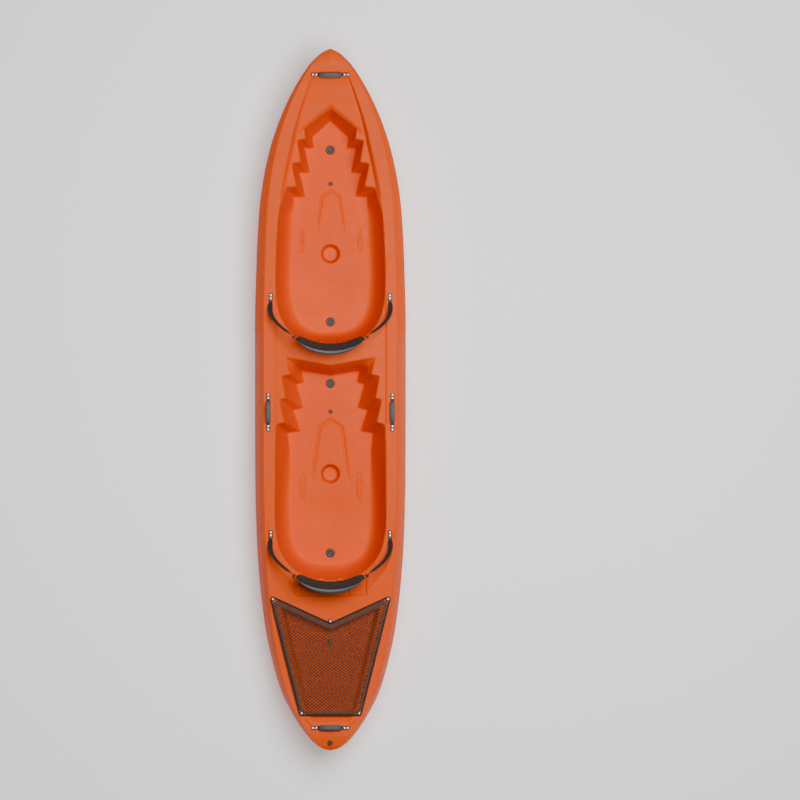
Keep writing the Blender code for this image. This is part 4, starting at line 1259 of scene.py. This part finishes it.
def inflate(obj, held, pressure, cap):
    """Swells a closed mesh as cloth. Points that held(point) names stay, and none moves further than cap."""
    rest = np.array([v.co[:] for v in obj.data.vertices])
    group = obj.vertex_groups.new(name="held")
    for vertex in obj.data.vertices:
        weight = held(vertex.co)
        if weight > 0:
            group.add([vertex.index], weight, "REPLACE")
    cloth = obj.modifiers.new("Cloth", "CLOTH")
    cloth.settings.vertex_group_mass = "held"
    cloth.settings.use_pressure = True
    cloth.settings.uniform_pressure_force = pressure
    cloth.settings.effector_weights.gravity = 0.0
    cloth.settings.quality = 6
    cloth.settings.tension_stiffness = 12
    cloth.settings.compression_stiffness = 12
    scene = bpy.context.scene
    for step in range(1, 21):
        scene.frame_set(step)
    graph = bpy.context.evaluated_depsgraph_get()
    found = obj.evaluated_get(graph).to_mesh()
    moved = np.array([v.co[:] for v in found.vertices])
    obj.evaluated_get(graph).to_mesh_clear()
    obj.modifiers.remove(cloth)
    scene.frame_set(1)
    shift = np.nan_to_num(moved - rest)
    size = np.linalg.norm(shift, axis=1, keepdims=True)
    shift *= np.minimum(1.0, cap / np.maximum(size, 1e-9))
    obj.data.vertices.foreach_set("co", (rest + shift).ravel())
    obj.data.update()
    obj.vertex_groups.clear()


def applied(obj, kind, **settings):
    """Adds a modifier with these settings and bakes it into the mesh."""
    modifier = obj.modifiers.new(kind.title(), kind)
    for key, value in settings.items():
        setattr(modifier, key, value)
    graph = bpy.context.evaluated_depsgraph_get()
    mesh = bpy.data.meshes.new_from_object(obj.evaluated_get(graph))
    obj.modifiers.remove(modifier)
    old = obj.data
    obj.data = mesh
    bpy.data.meshes.remove(old)
    obj.data.shade_smooth()


def polar(point):
    """(angle, height, offset) of a point of the upright back."""
    across, forward = point.y, BACK_RADIUS - point.x
    return math.atan2(across, forward), point.z, BACK_RADIUS - math.hypot(across, forward)


def pad_mesh():
    """The foam pad, blown up as cloth from a thin slab, then sewn through along its channels."""
    us = even(-1.0, 1.0, 73, (0.004, 0.012))
    vs = even(PAD_LOW, PAD_HIGH, 31, (0.0006, 0.0020))
    pad = slab("pad_form", us, vs, pad_place, PAD_FABRIC)
    applied(pad, "REMESH", mode="VOXEL", voxel_size=0.0042)
    inflate(pad, lambda p: 1.0 if polar(p)[2] < PAD_BACK + 0.0045 else 0.0, 4.0, 0.0045)
    applied(pad, "SUBSURF", levels=1, render_levels=1)
    for vertex in pad.data.vertices:
        angle, height, offset = polar(vertex.co)
        front = min(max((offset - PAD_BACK - 0.004) / 0.006, 0.0), 1.0)
        valley = sum(math.exp(-(((height - line) / 0.0034) ** 2)) for line in CHANNELS)
        reach = pad_reach(min(max(height, PAD_LOW), PAD_HIGH))
        fade = min(max((reach - abs(angle)) * BACK_RADIUS / 0.012, 0.0), 1.0)
        slack = 0.0005 * math.sin(41 * angle + 300 * height) * math.sin(190 * height)
        depth = (0.0050 * valley * fade - slack) * front
        new = back_point(angle, height, offset - depth)
        vertex.co = new
    pad.data.update()
    return pad


def pad_front(pad, tree, angle, height):
    """(point, normal) on the pad's front."""
    start = back_point(angle, height, 0.080)
    way = back_point(angle, height, 0.0) - start
    hit, normal, _, _ = tree.ray_cast(start, way.normalized())
    return hit, normal


def sewing(pad):
    """Thread stitches along each channel, and the piping round the pad's front."""
    graph = bpy.context.evaluated_depsgraph_get()
    tree = BVHTree.FromObject(pad, graph)
    thread = Solid()
    for line in CHANNELS:
        reach = pad_reach(line) - 0.045
        count = int(2 * reach * BACK_RADIUS / 0.0058)
        for k in range(count):
            angle = reach * (2 * (k + 0.5) / count - 1)
            ends = [pad_front(pad, tree, angle + sign * 0.0019 / BACK_RADIUS, line) for sign in (-1, 0, 1)]
            if any(hit is None for hit, _ in ends):
                continue
            lifts = (-0.0001, 0.0004, -0.0001)
            path = [hit + normal * lift for (hit, normal), lift in zip(ends, lifts)]
            thread.loft(tube_rings(path, 0.00038, 6))
    piping = Solid()
    path = []
    steps = 40
    for low, high, sign in ((PAD_LOW, PAD_HIGH, 1), (PAD_HIGH, PAD_LOW, -1)):
        for step in range(steps):
            share = (1 - math.cos(math.pi * step / steps)) / 2
            height = low + (high - low) * share
            path.append(back_point(sign * pad_reach(height), height, PAD_BACK + 0.0035))
        far = pad_reach(high)
        for step in range(60):
            path.append(back_point(sign * far * (1 - 2 * step / 60), high, PAD_BACK + 0.0035))
    piping.loft(tube_rings(path, 0.0021, 10, closed=True), closed=True)
    return thread.object("thread_form", THREAD, 60), piping.object("piping_form", NET_CORD, 60)


def leaned(name):
    """Place of a seat's upright back once it leans."""
    return Matrix.Translation((SEATS[name], 0.0, PIVOT_Z)) @ Matrix.Rotation(-BACK_LEAN, 4, "Y")


def copied(form, name, place):
    obj = bpy.data.objects.new(name, form.data.copy())
    bpy.context.scene.collection.objects.link(obj)
    obj.data.transform(place)
    return obj


def buckle_object(name, place, side):
    """A moulded loop that stands on edge, with its slot to one side."""
    depth, thick = 0.0040, 0.0011
    outer, inner = (0.0098, 0.0168, 0.0042), (0.0021, 0.0128, 0.0016)
    rows = (
        (outer, 0.0, -depth + thick, 0.0), (outer, -thick, -depth, 0.0), (inner, thick, -depth, 0.0025),
        (inner, 0.0, -depth + thick, 0.0025), (inner, 0.0, depth - thick, 0.0025),
        (inner, thick, depth, 0.0025), (outer, -thick, depth, 0.0), (outer, 0.0, depth - thick, 0.0),
    )
    rings = []
    for (half_y, half_z, corner), grow, x, shift in rows:
        outline = rounded_outline(half_y + grow, half_z + grow, corner + grow)
        rings.append([place @ Vector((x, y + side * shift, z)) for y, z in outline])
    solid = Solid()
    solid.loft(rings, closed=True)
    return solid.object(name, NYLON, 40)


def make_strap(seat, label, side):
    lean = Matrix.Rotation(-BACK_LEAN, 4, "Y")
    angle = side * back_width(STRAP_HEIGHT / BACK_HEIGHT)
    wing = back_point(angle + side * BUCKLE_TURN, STRAP_HEIGHT, BACK_SHELL)
    turned = leaned(seat) @ Matrix.Translation(wing) @ Matrix.Rotation(angle, 4, "Z")
    buckle = buckle_object(f"{seat}_buckle_{label}", turned, side)
    set_piece(buckle, f"{seat}_backrest", "hard_plastic", f"{seat}_strap_buckle_{label}")

    eye_x = SEATS[seat] + EYE_PLACE[0]
    y = side * EYE_PLACE[1]
    near = Vector((eye_x - 0.0250, y, 0.3335))
    far = Vector((SEATS[seat], 0.0, PIVOT_Z)) + lean @ (wing + Vector((0.010, side * 0.009, 0.0)))
    under_bridge = ((-0.0135, 0.3304), (-0.0184, 0.3306), (-0.0218, 0.3318))
    centres = [Vector((eye_x + dx, y, z)) for dx, z in under_bridge]
    acrosses = [Vector((0.0, 1.0, 0.0))] * 3
    widths = [0.0130, 0.0130, 0.0150]
    steps = 44
    for step in range(steps + 1):
        share = step / steps
        point = near.lerp(far, share)
        bulge = math.sin(math.pi * share)
        point.y += side * 0.042 * bulge
        point.z -= 0.0119 * bulge
        centres.append(point)
        turn = 0.48 * float(smoothstep(0.04, 0.50, share)) + 0.98 * float(smoothstep(0.87, 1.0, share))
        acrosses.append(Vector((0.0, side * math.cos(turn), math.sin(turn))))
        widths.append(0.0160 + 0.0080 * float(smoothstep(0.0, 0.10, share)))
    for x in (0.0080, 0.0040, 0.0, -0.0040, -0.0090, -0.0150):
        centres.append(turned @ Vector((x, side * 0.0024, 0.0)))
        acrosses.append((turned.to_3x3() @ Vector((0.0, 0.0, 1.0))).normalized())
        widths.append(0.0240)
    strap = webbing(f"{seat}_webbing_{label}", centres, acrosses, widths, 0.0020, WEBBING)
    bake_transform(strap)
    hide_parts(f"{seat}_strap_{label}")

    fixed = deck_frame(eye_x, y, 0.0, GAP)
    eye = Solid()
    moulding(eye, fixed, 0.0218, 0.0109, 0.0075, (
        (0.0004, 0.0), (0.0, 0.0005), (0.0001, 0.0024), (0.0005, 0.0034), (0.0013, 0.0040),
        (0.0022, 0.0041), (0.0028, 0.0039), (0.0034, 0.0035), (0.0050, 0.0034),
    ))
    bridge = []
    for k in range(13):
        swing = math.pi * k / 12
        across = -math.cos(swing)
        top = abs(math.sin(swing)) ** 0.45
        middle = Vector((-0.0184, 0.0088 * math.copysign(abs(across) ** 0.6, across), 0.0028 + 0.0048 * top))
        bridge.append(middle)
    rings = []
    for point, across, over in frames_along(bridge, up=Vector((1, 0, 0))):
        outline = rounded_outline(0.0013, 0.0034, 0.0009, 3)
        rings.append([fixed @ (point + across * a + over * b) for a, b in outline])
    eye.loft(rings)
    set_piece(eye.object(f"{seat}_eye_{label}", NYLON, 40), "root", "hard_plastic", f"{seat}_pad_eye_{label}")
    screws = Solid()
    for number, x in enumerate((0.0110, -0.0055)):
        spin = Matrix.Rotation(0.4 + 0.9 * number + side, 4, "Z")
        add_screw(screws, fixed @ Matrix.Translation((x, 0.0, 0.0036)) @ spin)
    steel = screws.object(f"{seat}_eye_screws_{label}", STEEL, 35)
    set_piece(steel, "root", None, f"{seat}_pad_eye_{label}")


def make_backrests():
    shell_form = shell_object("shell_form")
    pad_form = pad_mesh()
    thread_form, piping_form = sewing(pad_form)
    for seat in SEATS:
        body = f"{seat}_backrest"
        place = leaned(seat)
        set_piece(copied(shell_form, f"{body}_back", place), body, "back_shell", f"{body}_shell")
        pad = copied(pad_form, f"{body}_cushion", place)
        set_piece(pad, body, "pad_fabric", f"{body}_pad")
        for form, label in ((thread_form, "stitching"), (piping_form, "piping")):
            set_piece(copied(form, f"{body}_{label}", place), body, "pad_fabric", f"{body}_pad")
        for label, side in SIDES.items():
            make_strap(seat, label, side)
    for form in (shell_form, pad_form, thread_form, piping_form):
        mesh = form.data
        bpy.data.objects.remove(form)
        bpy.data.meshes.remove(mesh)


# ---------------------------------------------------------------- cargo net
NET_CORNERS = ((-1.168, 0.000), (-1.052, 0.304), (-1.653, 0.152))
NET_HEIGHT = ((-1.052, 0.3265), (-1.653, 0.3505))
NET_PITCH = (0.0161, 0.0212)
HOLE_SHARE = 0.61          # size of each opening, as a share of its mesh
NET_THICK = 0.0016
BUNGEE_RADIUS = 0.004
BUTTON_NECK = 0.006
HEM_WIDTHS = {"bow": 0.024, "side": 0.014}


def net_outline():
    centre, corner, rear = NET_CORNERS
    return [centre, corner, rear, (rear[0], -rear[1]), (corner[0], -corner[1])]


def bungee_arcs(steps):
    """The cord's centre line round each anchor's neck."""
    corners = [Vector(point) for point in net_outline()]
    reach = BUTTON_NECK + BUNGEE_RADIUS + 2 * GAP
    arcs = []
    for index, corner in enumerate(corners):
        before = (corners[index - 1] - corner).normalized()
        after = (corners[(index + 1) % len(corners)] - corner).normalized()
        first = Vector((-before.y, before.x)) * reach
        last = Vector((after.y, -after.x)) * reach
        if index == 0:
            first, last = -first, -last
        sweep = first.angle_signed(last)
        arcs.append([corner + Matrix.Rotation(-sweep * k / steps, 2) @ first for k in range(steps + 1)])
    return arcs


def net_edge(arcs, inset, cut):
    """The net's outline inside the cord, cut across at the four outer anchors."""
    edge = []
    for index, arc in enumerate(arcs):
        start, end = arc[-1], arcs[(index + 1) % len(arcs)][0]
        along = (end - start).normalized()
        inward = Vector((-along.y, along.x)) * inset
        first, last = start + inward, end + inward
        if index == 0:
            edge.append(tuple(first - along * first.y / along.y))
        else:
            edge.append(tuple(first + along * cut))
        if index < len(arcs) - 1:
            edge.append(tuple(last - along * cut))
    return edge


def outline_area(points):
    return abs(sum(x0 * y1 - x1 * y0 for (x0, y0), (x1, y1) in zip(points, [*points[1:], points[0]]))) / 2


def net_z(x):
    return line_height(NET_HEIGHT, x)


def make_bungee(arcs):
    path = []
    for index, arc in enumerate(arcs):
        path.extend(arc)
        start, end = arc[-1], arcs[(index + 1) % len(arcs)][0]
        runs = max(2, round((end - start).length / 0.012))
        path.extend(start.lerp(end, k / runs) for k in range(1, runs))
    path = [Vector((p.x, p.y, net_z(p.x))) for p in path]
    sides = 16
    rings = tube_rings(path, BUNGEE_RADIUS - 0.0001, sides, closed=True)
    solid = Solid()
    solid.loft(rings, closed=True)
    cord = solid.object("bungee_cord", BRAID, 60)
    layer = cord.data.uv_layers.new(name="metres")
    travelled = [0.0]
    for here, after in zip(path, [*path[1:], path[0]]):
        travelled.append(travelled[-1] + (after - here).length)
    around = math.tau * BUNGEE_RADIUS
    for polygon in cord.data.polygons:
        rows = [cord.data.loops[i].vertex_index // sides for i in polygon.loop_indices]
        columns = [cord.data.loops[i].vertex_index % sides for i in polygon.loop_indices]
        for i, row, column in zip(polygon.loop_indices, rows, columns):
            if row == 0 and max(rows) > 1:
                row = len(path)
            if column == 0 and max(columns) > 1:
                column = sides
            layer.data[i].uv = (travelled[row], around * column / sides)
    set_piece(cord, "root", "bungee_cord", "net_bungee")


def make_net(arcs):
    """A knitted net with diamond openings, in a hem that is wider along its bow edges."""
    outline = net_edge(arcs, BUNGEE_RADIUS + 4 * GAP, 0.022)
    cloth = 0.0
    step_x, step_y = NET_PITCH[0] / 2, NET_PITCH[1] / 2
    per_side = 3
    index, points, faces, border_use = {}, [], [], {}

    def vertex(x, y, z):
        key = (round(x, 6), round(y, 6), round(z, 6))
        if key not in index:
            index[key] = len(points)
            points.append((x, y, net_z(x) + z))
        return index[key]

    centre_x = outline[0][0]
    columns = range(int((-1.700 - centre_x) / step_x), int(0.14 / step_x))
    rows = range(-int(0.32 / step_y), int(0.32 / step_y) + 1)
    cells = [
        (centre_x + i * step_x, j * step_y) for i in columns for j in rows if (i + j) % 2 == 0
    ]
    cx, cy = np.array(cells).T
    reach = np.full(len(cells), 9.0)
    for dx, dy in ((step_x, 0), (0, step_y), (-step_x, 0), (0, -step_y)):
        reach = np.minimum(reach, signed_distance(outline, cx + dx, cy + dy))
    half = NET_THICK / 2
    for x, y, clear in zip(cx, cy, reach):
        if clear < 0.0010:
            continue
        corners = ((step_x, 0), (0, step_y), (-step_x, 0), (0, -step_y))
        rim = []
        for (ax, ay), (bx, by) in zip(corners, (*corners[1:], corners[0])):
            rim.extend(
                (ax + (bx - ax) * k / per_side, ay + (by - ay) * k / per_side) for k in range(per_side)
            )
        count = len(rim)
        rings = {}
        for sign in (1, -1):
            rings[sign, 0] = [vertex(x + dx, y + dy, sign * half) for dx, dy in rim]
        inner = []
        for k in range(count):
            angle = math.atan2(rim[k][1] / step_y, rim[k][0] / step_x)
            inner.append((
                HOLE_SHARE * step_x * math.copysign(abs(math.cos(angle)) ** 1.4, math.cos(angle)),
                HOLE_SHARE * step_y * math.copysign(abs(math.sin(angle)) ** 1.4, math.sin(angle)),
            ))
        edge = [vertex(x + dx, y + dy, 0.0) for dx, dy in inner]
        cloth += outline_area(rim) - outline_area(inner)
        for sign in (1, -1):
            rings[sign, 1] = [
                vertex(x + dx + 0.30 * (rx - dx), y + dy + 0.30 * (ry - dy), sign * 0.74 * half)
                for (dx, dy), (rx, ry) in zip(inner, rim)
            ]
            for a, b in ((rings[sign, 0], rings[sign, 1]), (rings[sign, 1], edge)):
                for k in range(count):
                    after = (k + 1) % count
                    face = (a[k], a[after], b[after], b[k])
                    faces.append(face if sign > 0 else tuple(reversed(face)))
        for k in range(count):
            top = (rings[1, 0][k], rings[1, 0][(k + 1) % count])
            low = (rings[-1, 0][k], rings[-1, 0][(k + 1) % count])
            if (top[1], top[0]) in border_use:
                del border_use[top[1], top[0]]
            else:
                border_use[top] = low
    for (a, b), (c, d) in border_use.items():
        faces.append((b, a, c, d))
    net = new_mesh("cargo_netting", points, faces, NET_CORD, 60)
    set_piece(net, "root", "net_cord", "cargo_net")

    hem = Solid()
    rings = []
    for index_here, here in enumerate(outline):
        before, after = Vector(outline[index_here - 1]), Vector(outline[(index_here + 1) % len(outline)])
        here = Vector(here)
        rings.append((here, (here - before).normalized(), (after - here).normalized()))
    widths = []
    for k in range(len(outline)):
        following = (k + 1) % len(outline)
        bow_side = k == 0 or following == 0
        widths.append(HEM_WIDTHS["bow" if bow_side else "side"])
    sections = []
    for k, (here, arriving, leaving) in enumerate(rings):
        wa, wb = widths[k - 1], widths[k]
        na, nb = Vector((-arriving.y, arriving.x)), Vector((-leaving.y, leaving.x))
        cross = arriving.x * leaving.y - arriving.y * leaving.x
        pa, pb = here + na * wa, here + nb * wb
        share = ((pb - pa).x * leaving.y - (pb - pa).y * leaving.x) / cross
        inner = pa + arriving * share
        sections.append((here, inner))
    thick = 0.0013
    rows = ((0.0, 0.0), (0.04, 0.8), (0.12, 1.0), (0.50, 1.0), (0.88, 1.0), (0.96, 0.8), (1.0, 0.0),
            (0.96, -0.8), (0.88, -1.0), (0.50, -1.0), (0.12, -1.0), (0.04, -0.8))
    loops = []
    for k, (here, inner) in enumerate(sections):
        following = sections[(k + 1) % len(sections)]
        pieces = max(1, round((following[0] - here).length / 0.020))
        for piece in range(pieces):
            share = piece / pieces
            outer_point, inner_point = here.lerp(following[0], share), inner.lerp(following[1], share)
            ring = []
            for across, lift in rows:
                flat = outer_point.lerp(inner_point, across)
                ring.append(Vector((flat.x, flat.y, net_z(flat.x) + lift * thick)))
            loops.append(ring)
    hem.loft(loops, closed=True)
    band = hem.object("cargo_net_hem", HEM_FABRIC, 60)
    set_piece(band, "root", "net_cord", "cargo_net")


def make_anchors():
    names = ("centre", "port_front", "port_rear", "starboard_rear", "starboard_front")
    for name, (x, y) in zip(names, net_outline()):
        base = float(deck_height(np.array(x))) + GAP
        under = net_z(x) + BUNGEE_RADIUS + 0.0012 - base
        place = Matrix.Translation((x, y, base + 0.0006))
        button = Solid()
        button.turn([
            (0.0, under + 0.0031), (0.0050, under + 0.0031), (0.0056, under + 0.0035),
            (0.0074, under + 0.0036), (0.0096, under + 0.0034), (0.0110, under + 0.0028),
            (0.0118, under + 0.0018), (0.0120, under + 0.0010), (0.0116, under + 0.0003),
            (0.0108, under), (0.0066, under), (0.0060, under - 0.0006), (0.0060, 0.0026),
            (0.0068, 0.0016), (0.0083, 0.0012), (0.0085, 0.0008), (0.0084, GAP), (0.0, GAP),
        ], 48, place)
        moulded = button.object(f"net_button_{name}", NYLON, 40)
        set_piece(moulded, "root", "hard_plastic", f"net_anchor_{name}")
        screw = Solid()
        turn = Matrix.Rotation(0.7 + 12.0 * x, 4, "Z")
        add_screw(screw, place @ Matrix.Translation((0.0, 0.0, under + 0.0032)) @ turn, 0.92)
        steel = screw.object(f"net_button_screw_{name}", STEEL, 35)
        set_piece(steel, "root", None, f"net_anchor_{name}")


def make_hook():
    x = -1.270
    (near_x, near_z), (far_x, far_z) = NET_HEIGHT
    place = (
        Matrix.Translation((x, 0.0, net_z(x) + NET_THICK / 2 + 2 * GAP))
        @ Matrix.Rotation(math.atan2(far_z - near_z, near_x - far_x), 4, "Y")
    )
    solid = Solid()
    moulding(solid, place, 0.0128, 0.0078, 0.0060, (
        (0.0004, 0.0), (0.0, 0.0005), (0.0, 0.0030), (0.0005, 0.0042), (0.0014, 0.0049), (0.0030, 0.0050),
        (0.0038, 0.0047), (0.0042, 0.0042), (0.0056, 0.0042),
    ))
    solid.turn([
        (0.0, 0.0094), (0.0028, 0.0093), (0.0046, 0.0086), (0.0058, 0.0072), (0.0060, 0.0058),
        (0.0054, 0.0048), (0.0040, 0.0044), (0.0038, 0.0036), (0.0, 0.0036),
    ], 32, place)
    set_piece(solid.object("net_hook_body", NYLON, 40), "root", "hard_plastic", "net_hook")


make_plugs()
make_drain()
for handle, facts in HANDLES.items():
    make_handle(handle, *facts)
make_backrests()
arcs = bungee_arcs(14)
make_bungee(arcs)
make_net(arcs)
make_anchors()
make_hook()


# ---------------------------------------------------------------- floor, light and camera
def area_light(name, location, target, size, power, colour=(1.0, 1.0, 1.0)):
    data = bpy.data.lights.new(name, "AREA")
    data.shape = "DISK"
    data.size = size
    data.energy = power
    data.color = colour
    obj = bpy.data.objects.new(name, data)
    bpy.context.scene.collection.objects.link(obj)
    obj.location = location
    obj.rotation_euler = (Vector(target) - Vector(location)).to_track_quat("-Z", "Y").to_euler()
    return obj


FLOOR_HALF = 30.0
FLOOR_Z = -0.001
CAMERA_LENS = 200.0
SENSOR = 36.0
VIEW_WIDTH = 4.2407     # metres across the frame at the height of the deck
DECK_LEVEL = 0.24


def make_stage():
    floor_material, nodes, links, shader, where = shader_material("studio_floor", (0.93, 0.93, 0.93), 0.9)
    shader.inputs["Emission Color"].default_value = (1.0, 1.0, 1.0, 1.0)
    shader.inputs["Emission Strength"].default_value = 0.40
    mesh = bpy.data.meshes.new("floor")
    corners = [(x * FLOOR_HALF, y * FLOOR_HALF, FLOOR_Z) for x, y in ((-1, -1), (1, -1), (1, 1), (-1, 1))]
    mesh.from_pydata(corners, [], [(0, 1, 2, 3)])
    mesh.materials.append(floor_material)
    floor = bpy.data.objects.new("floor", mesh)
    bpy.context.scene.collection.objects.link(floor)
    world = bpy.data.worlds.new("studio")
    bpy.context.scene.world = world
    world.use_nodes = True
    back = world.node_tree.nodes["Background"]
    back.inputs["Color"].default_value = (1.0, 1.0, 1.0, 1.0)
    back.inputs["Strength"].default_value = 0.08
    area_light("key", (0.8, -1.2, 6.9), (0.0, 0.0, 0.2), 4.2, 640)
    camera_data = bpy.data.cameras.new("camera")
    camera_data.lens = CAMERA_LENS
    camera_data.clip_end = 100
    camera_data.shift_x = 0.087
    camera = bpy.data.objects.new("camera", camera_data)
    bpy.context.scene.collection.objects.link(camera)
    camera.location = (0.0, 0.0, DECK_LEVEL + VIEW_WIDTH * CAMERA_LENS / SENSOR)
    camera.rotation_euler = (0.0, 0.0, -math.pi / 2)
    bpy.context.scene.camera = camera


make_stage()
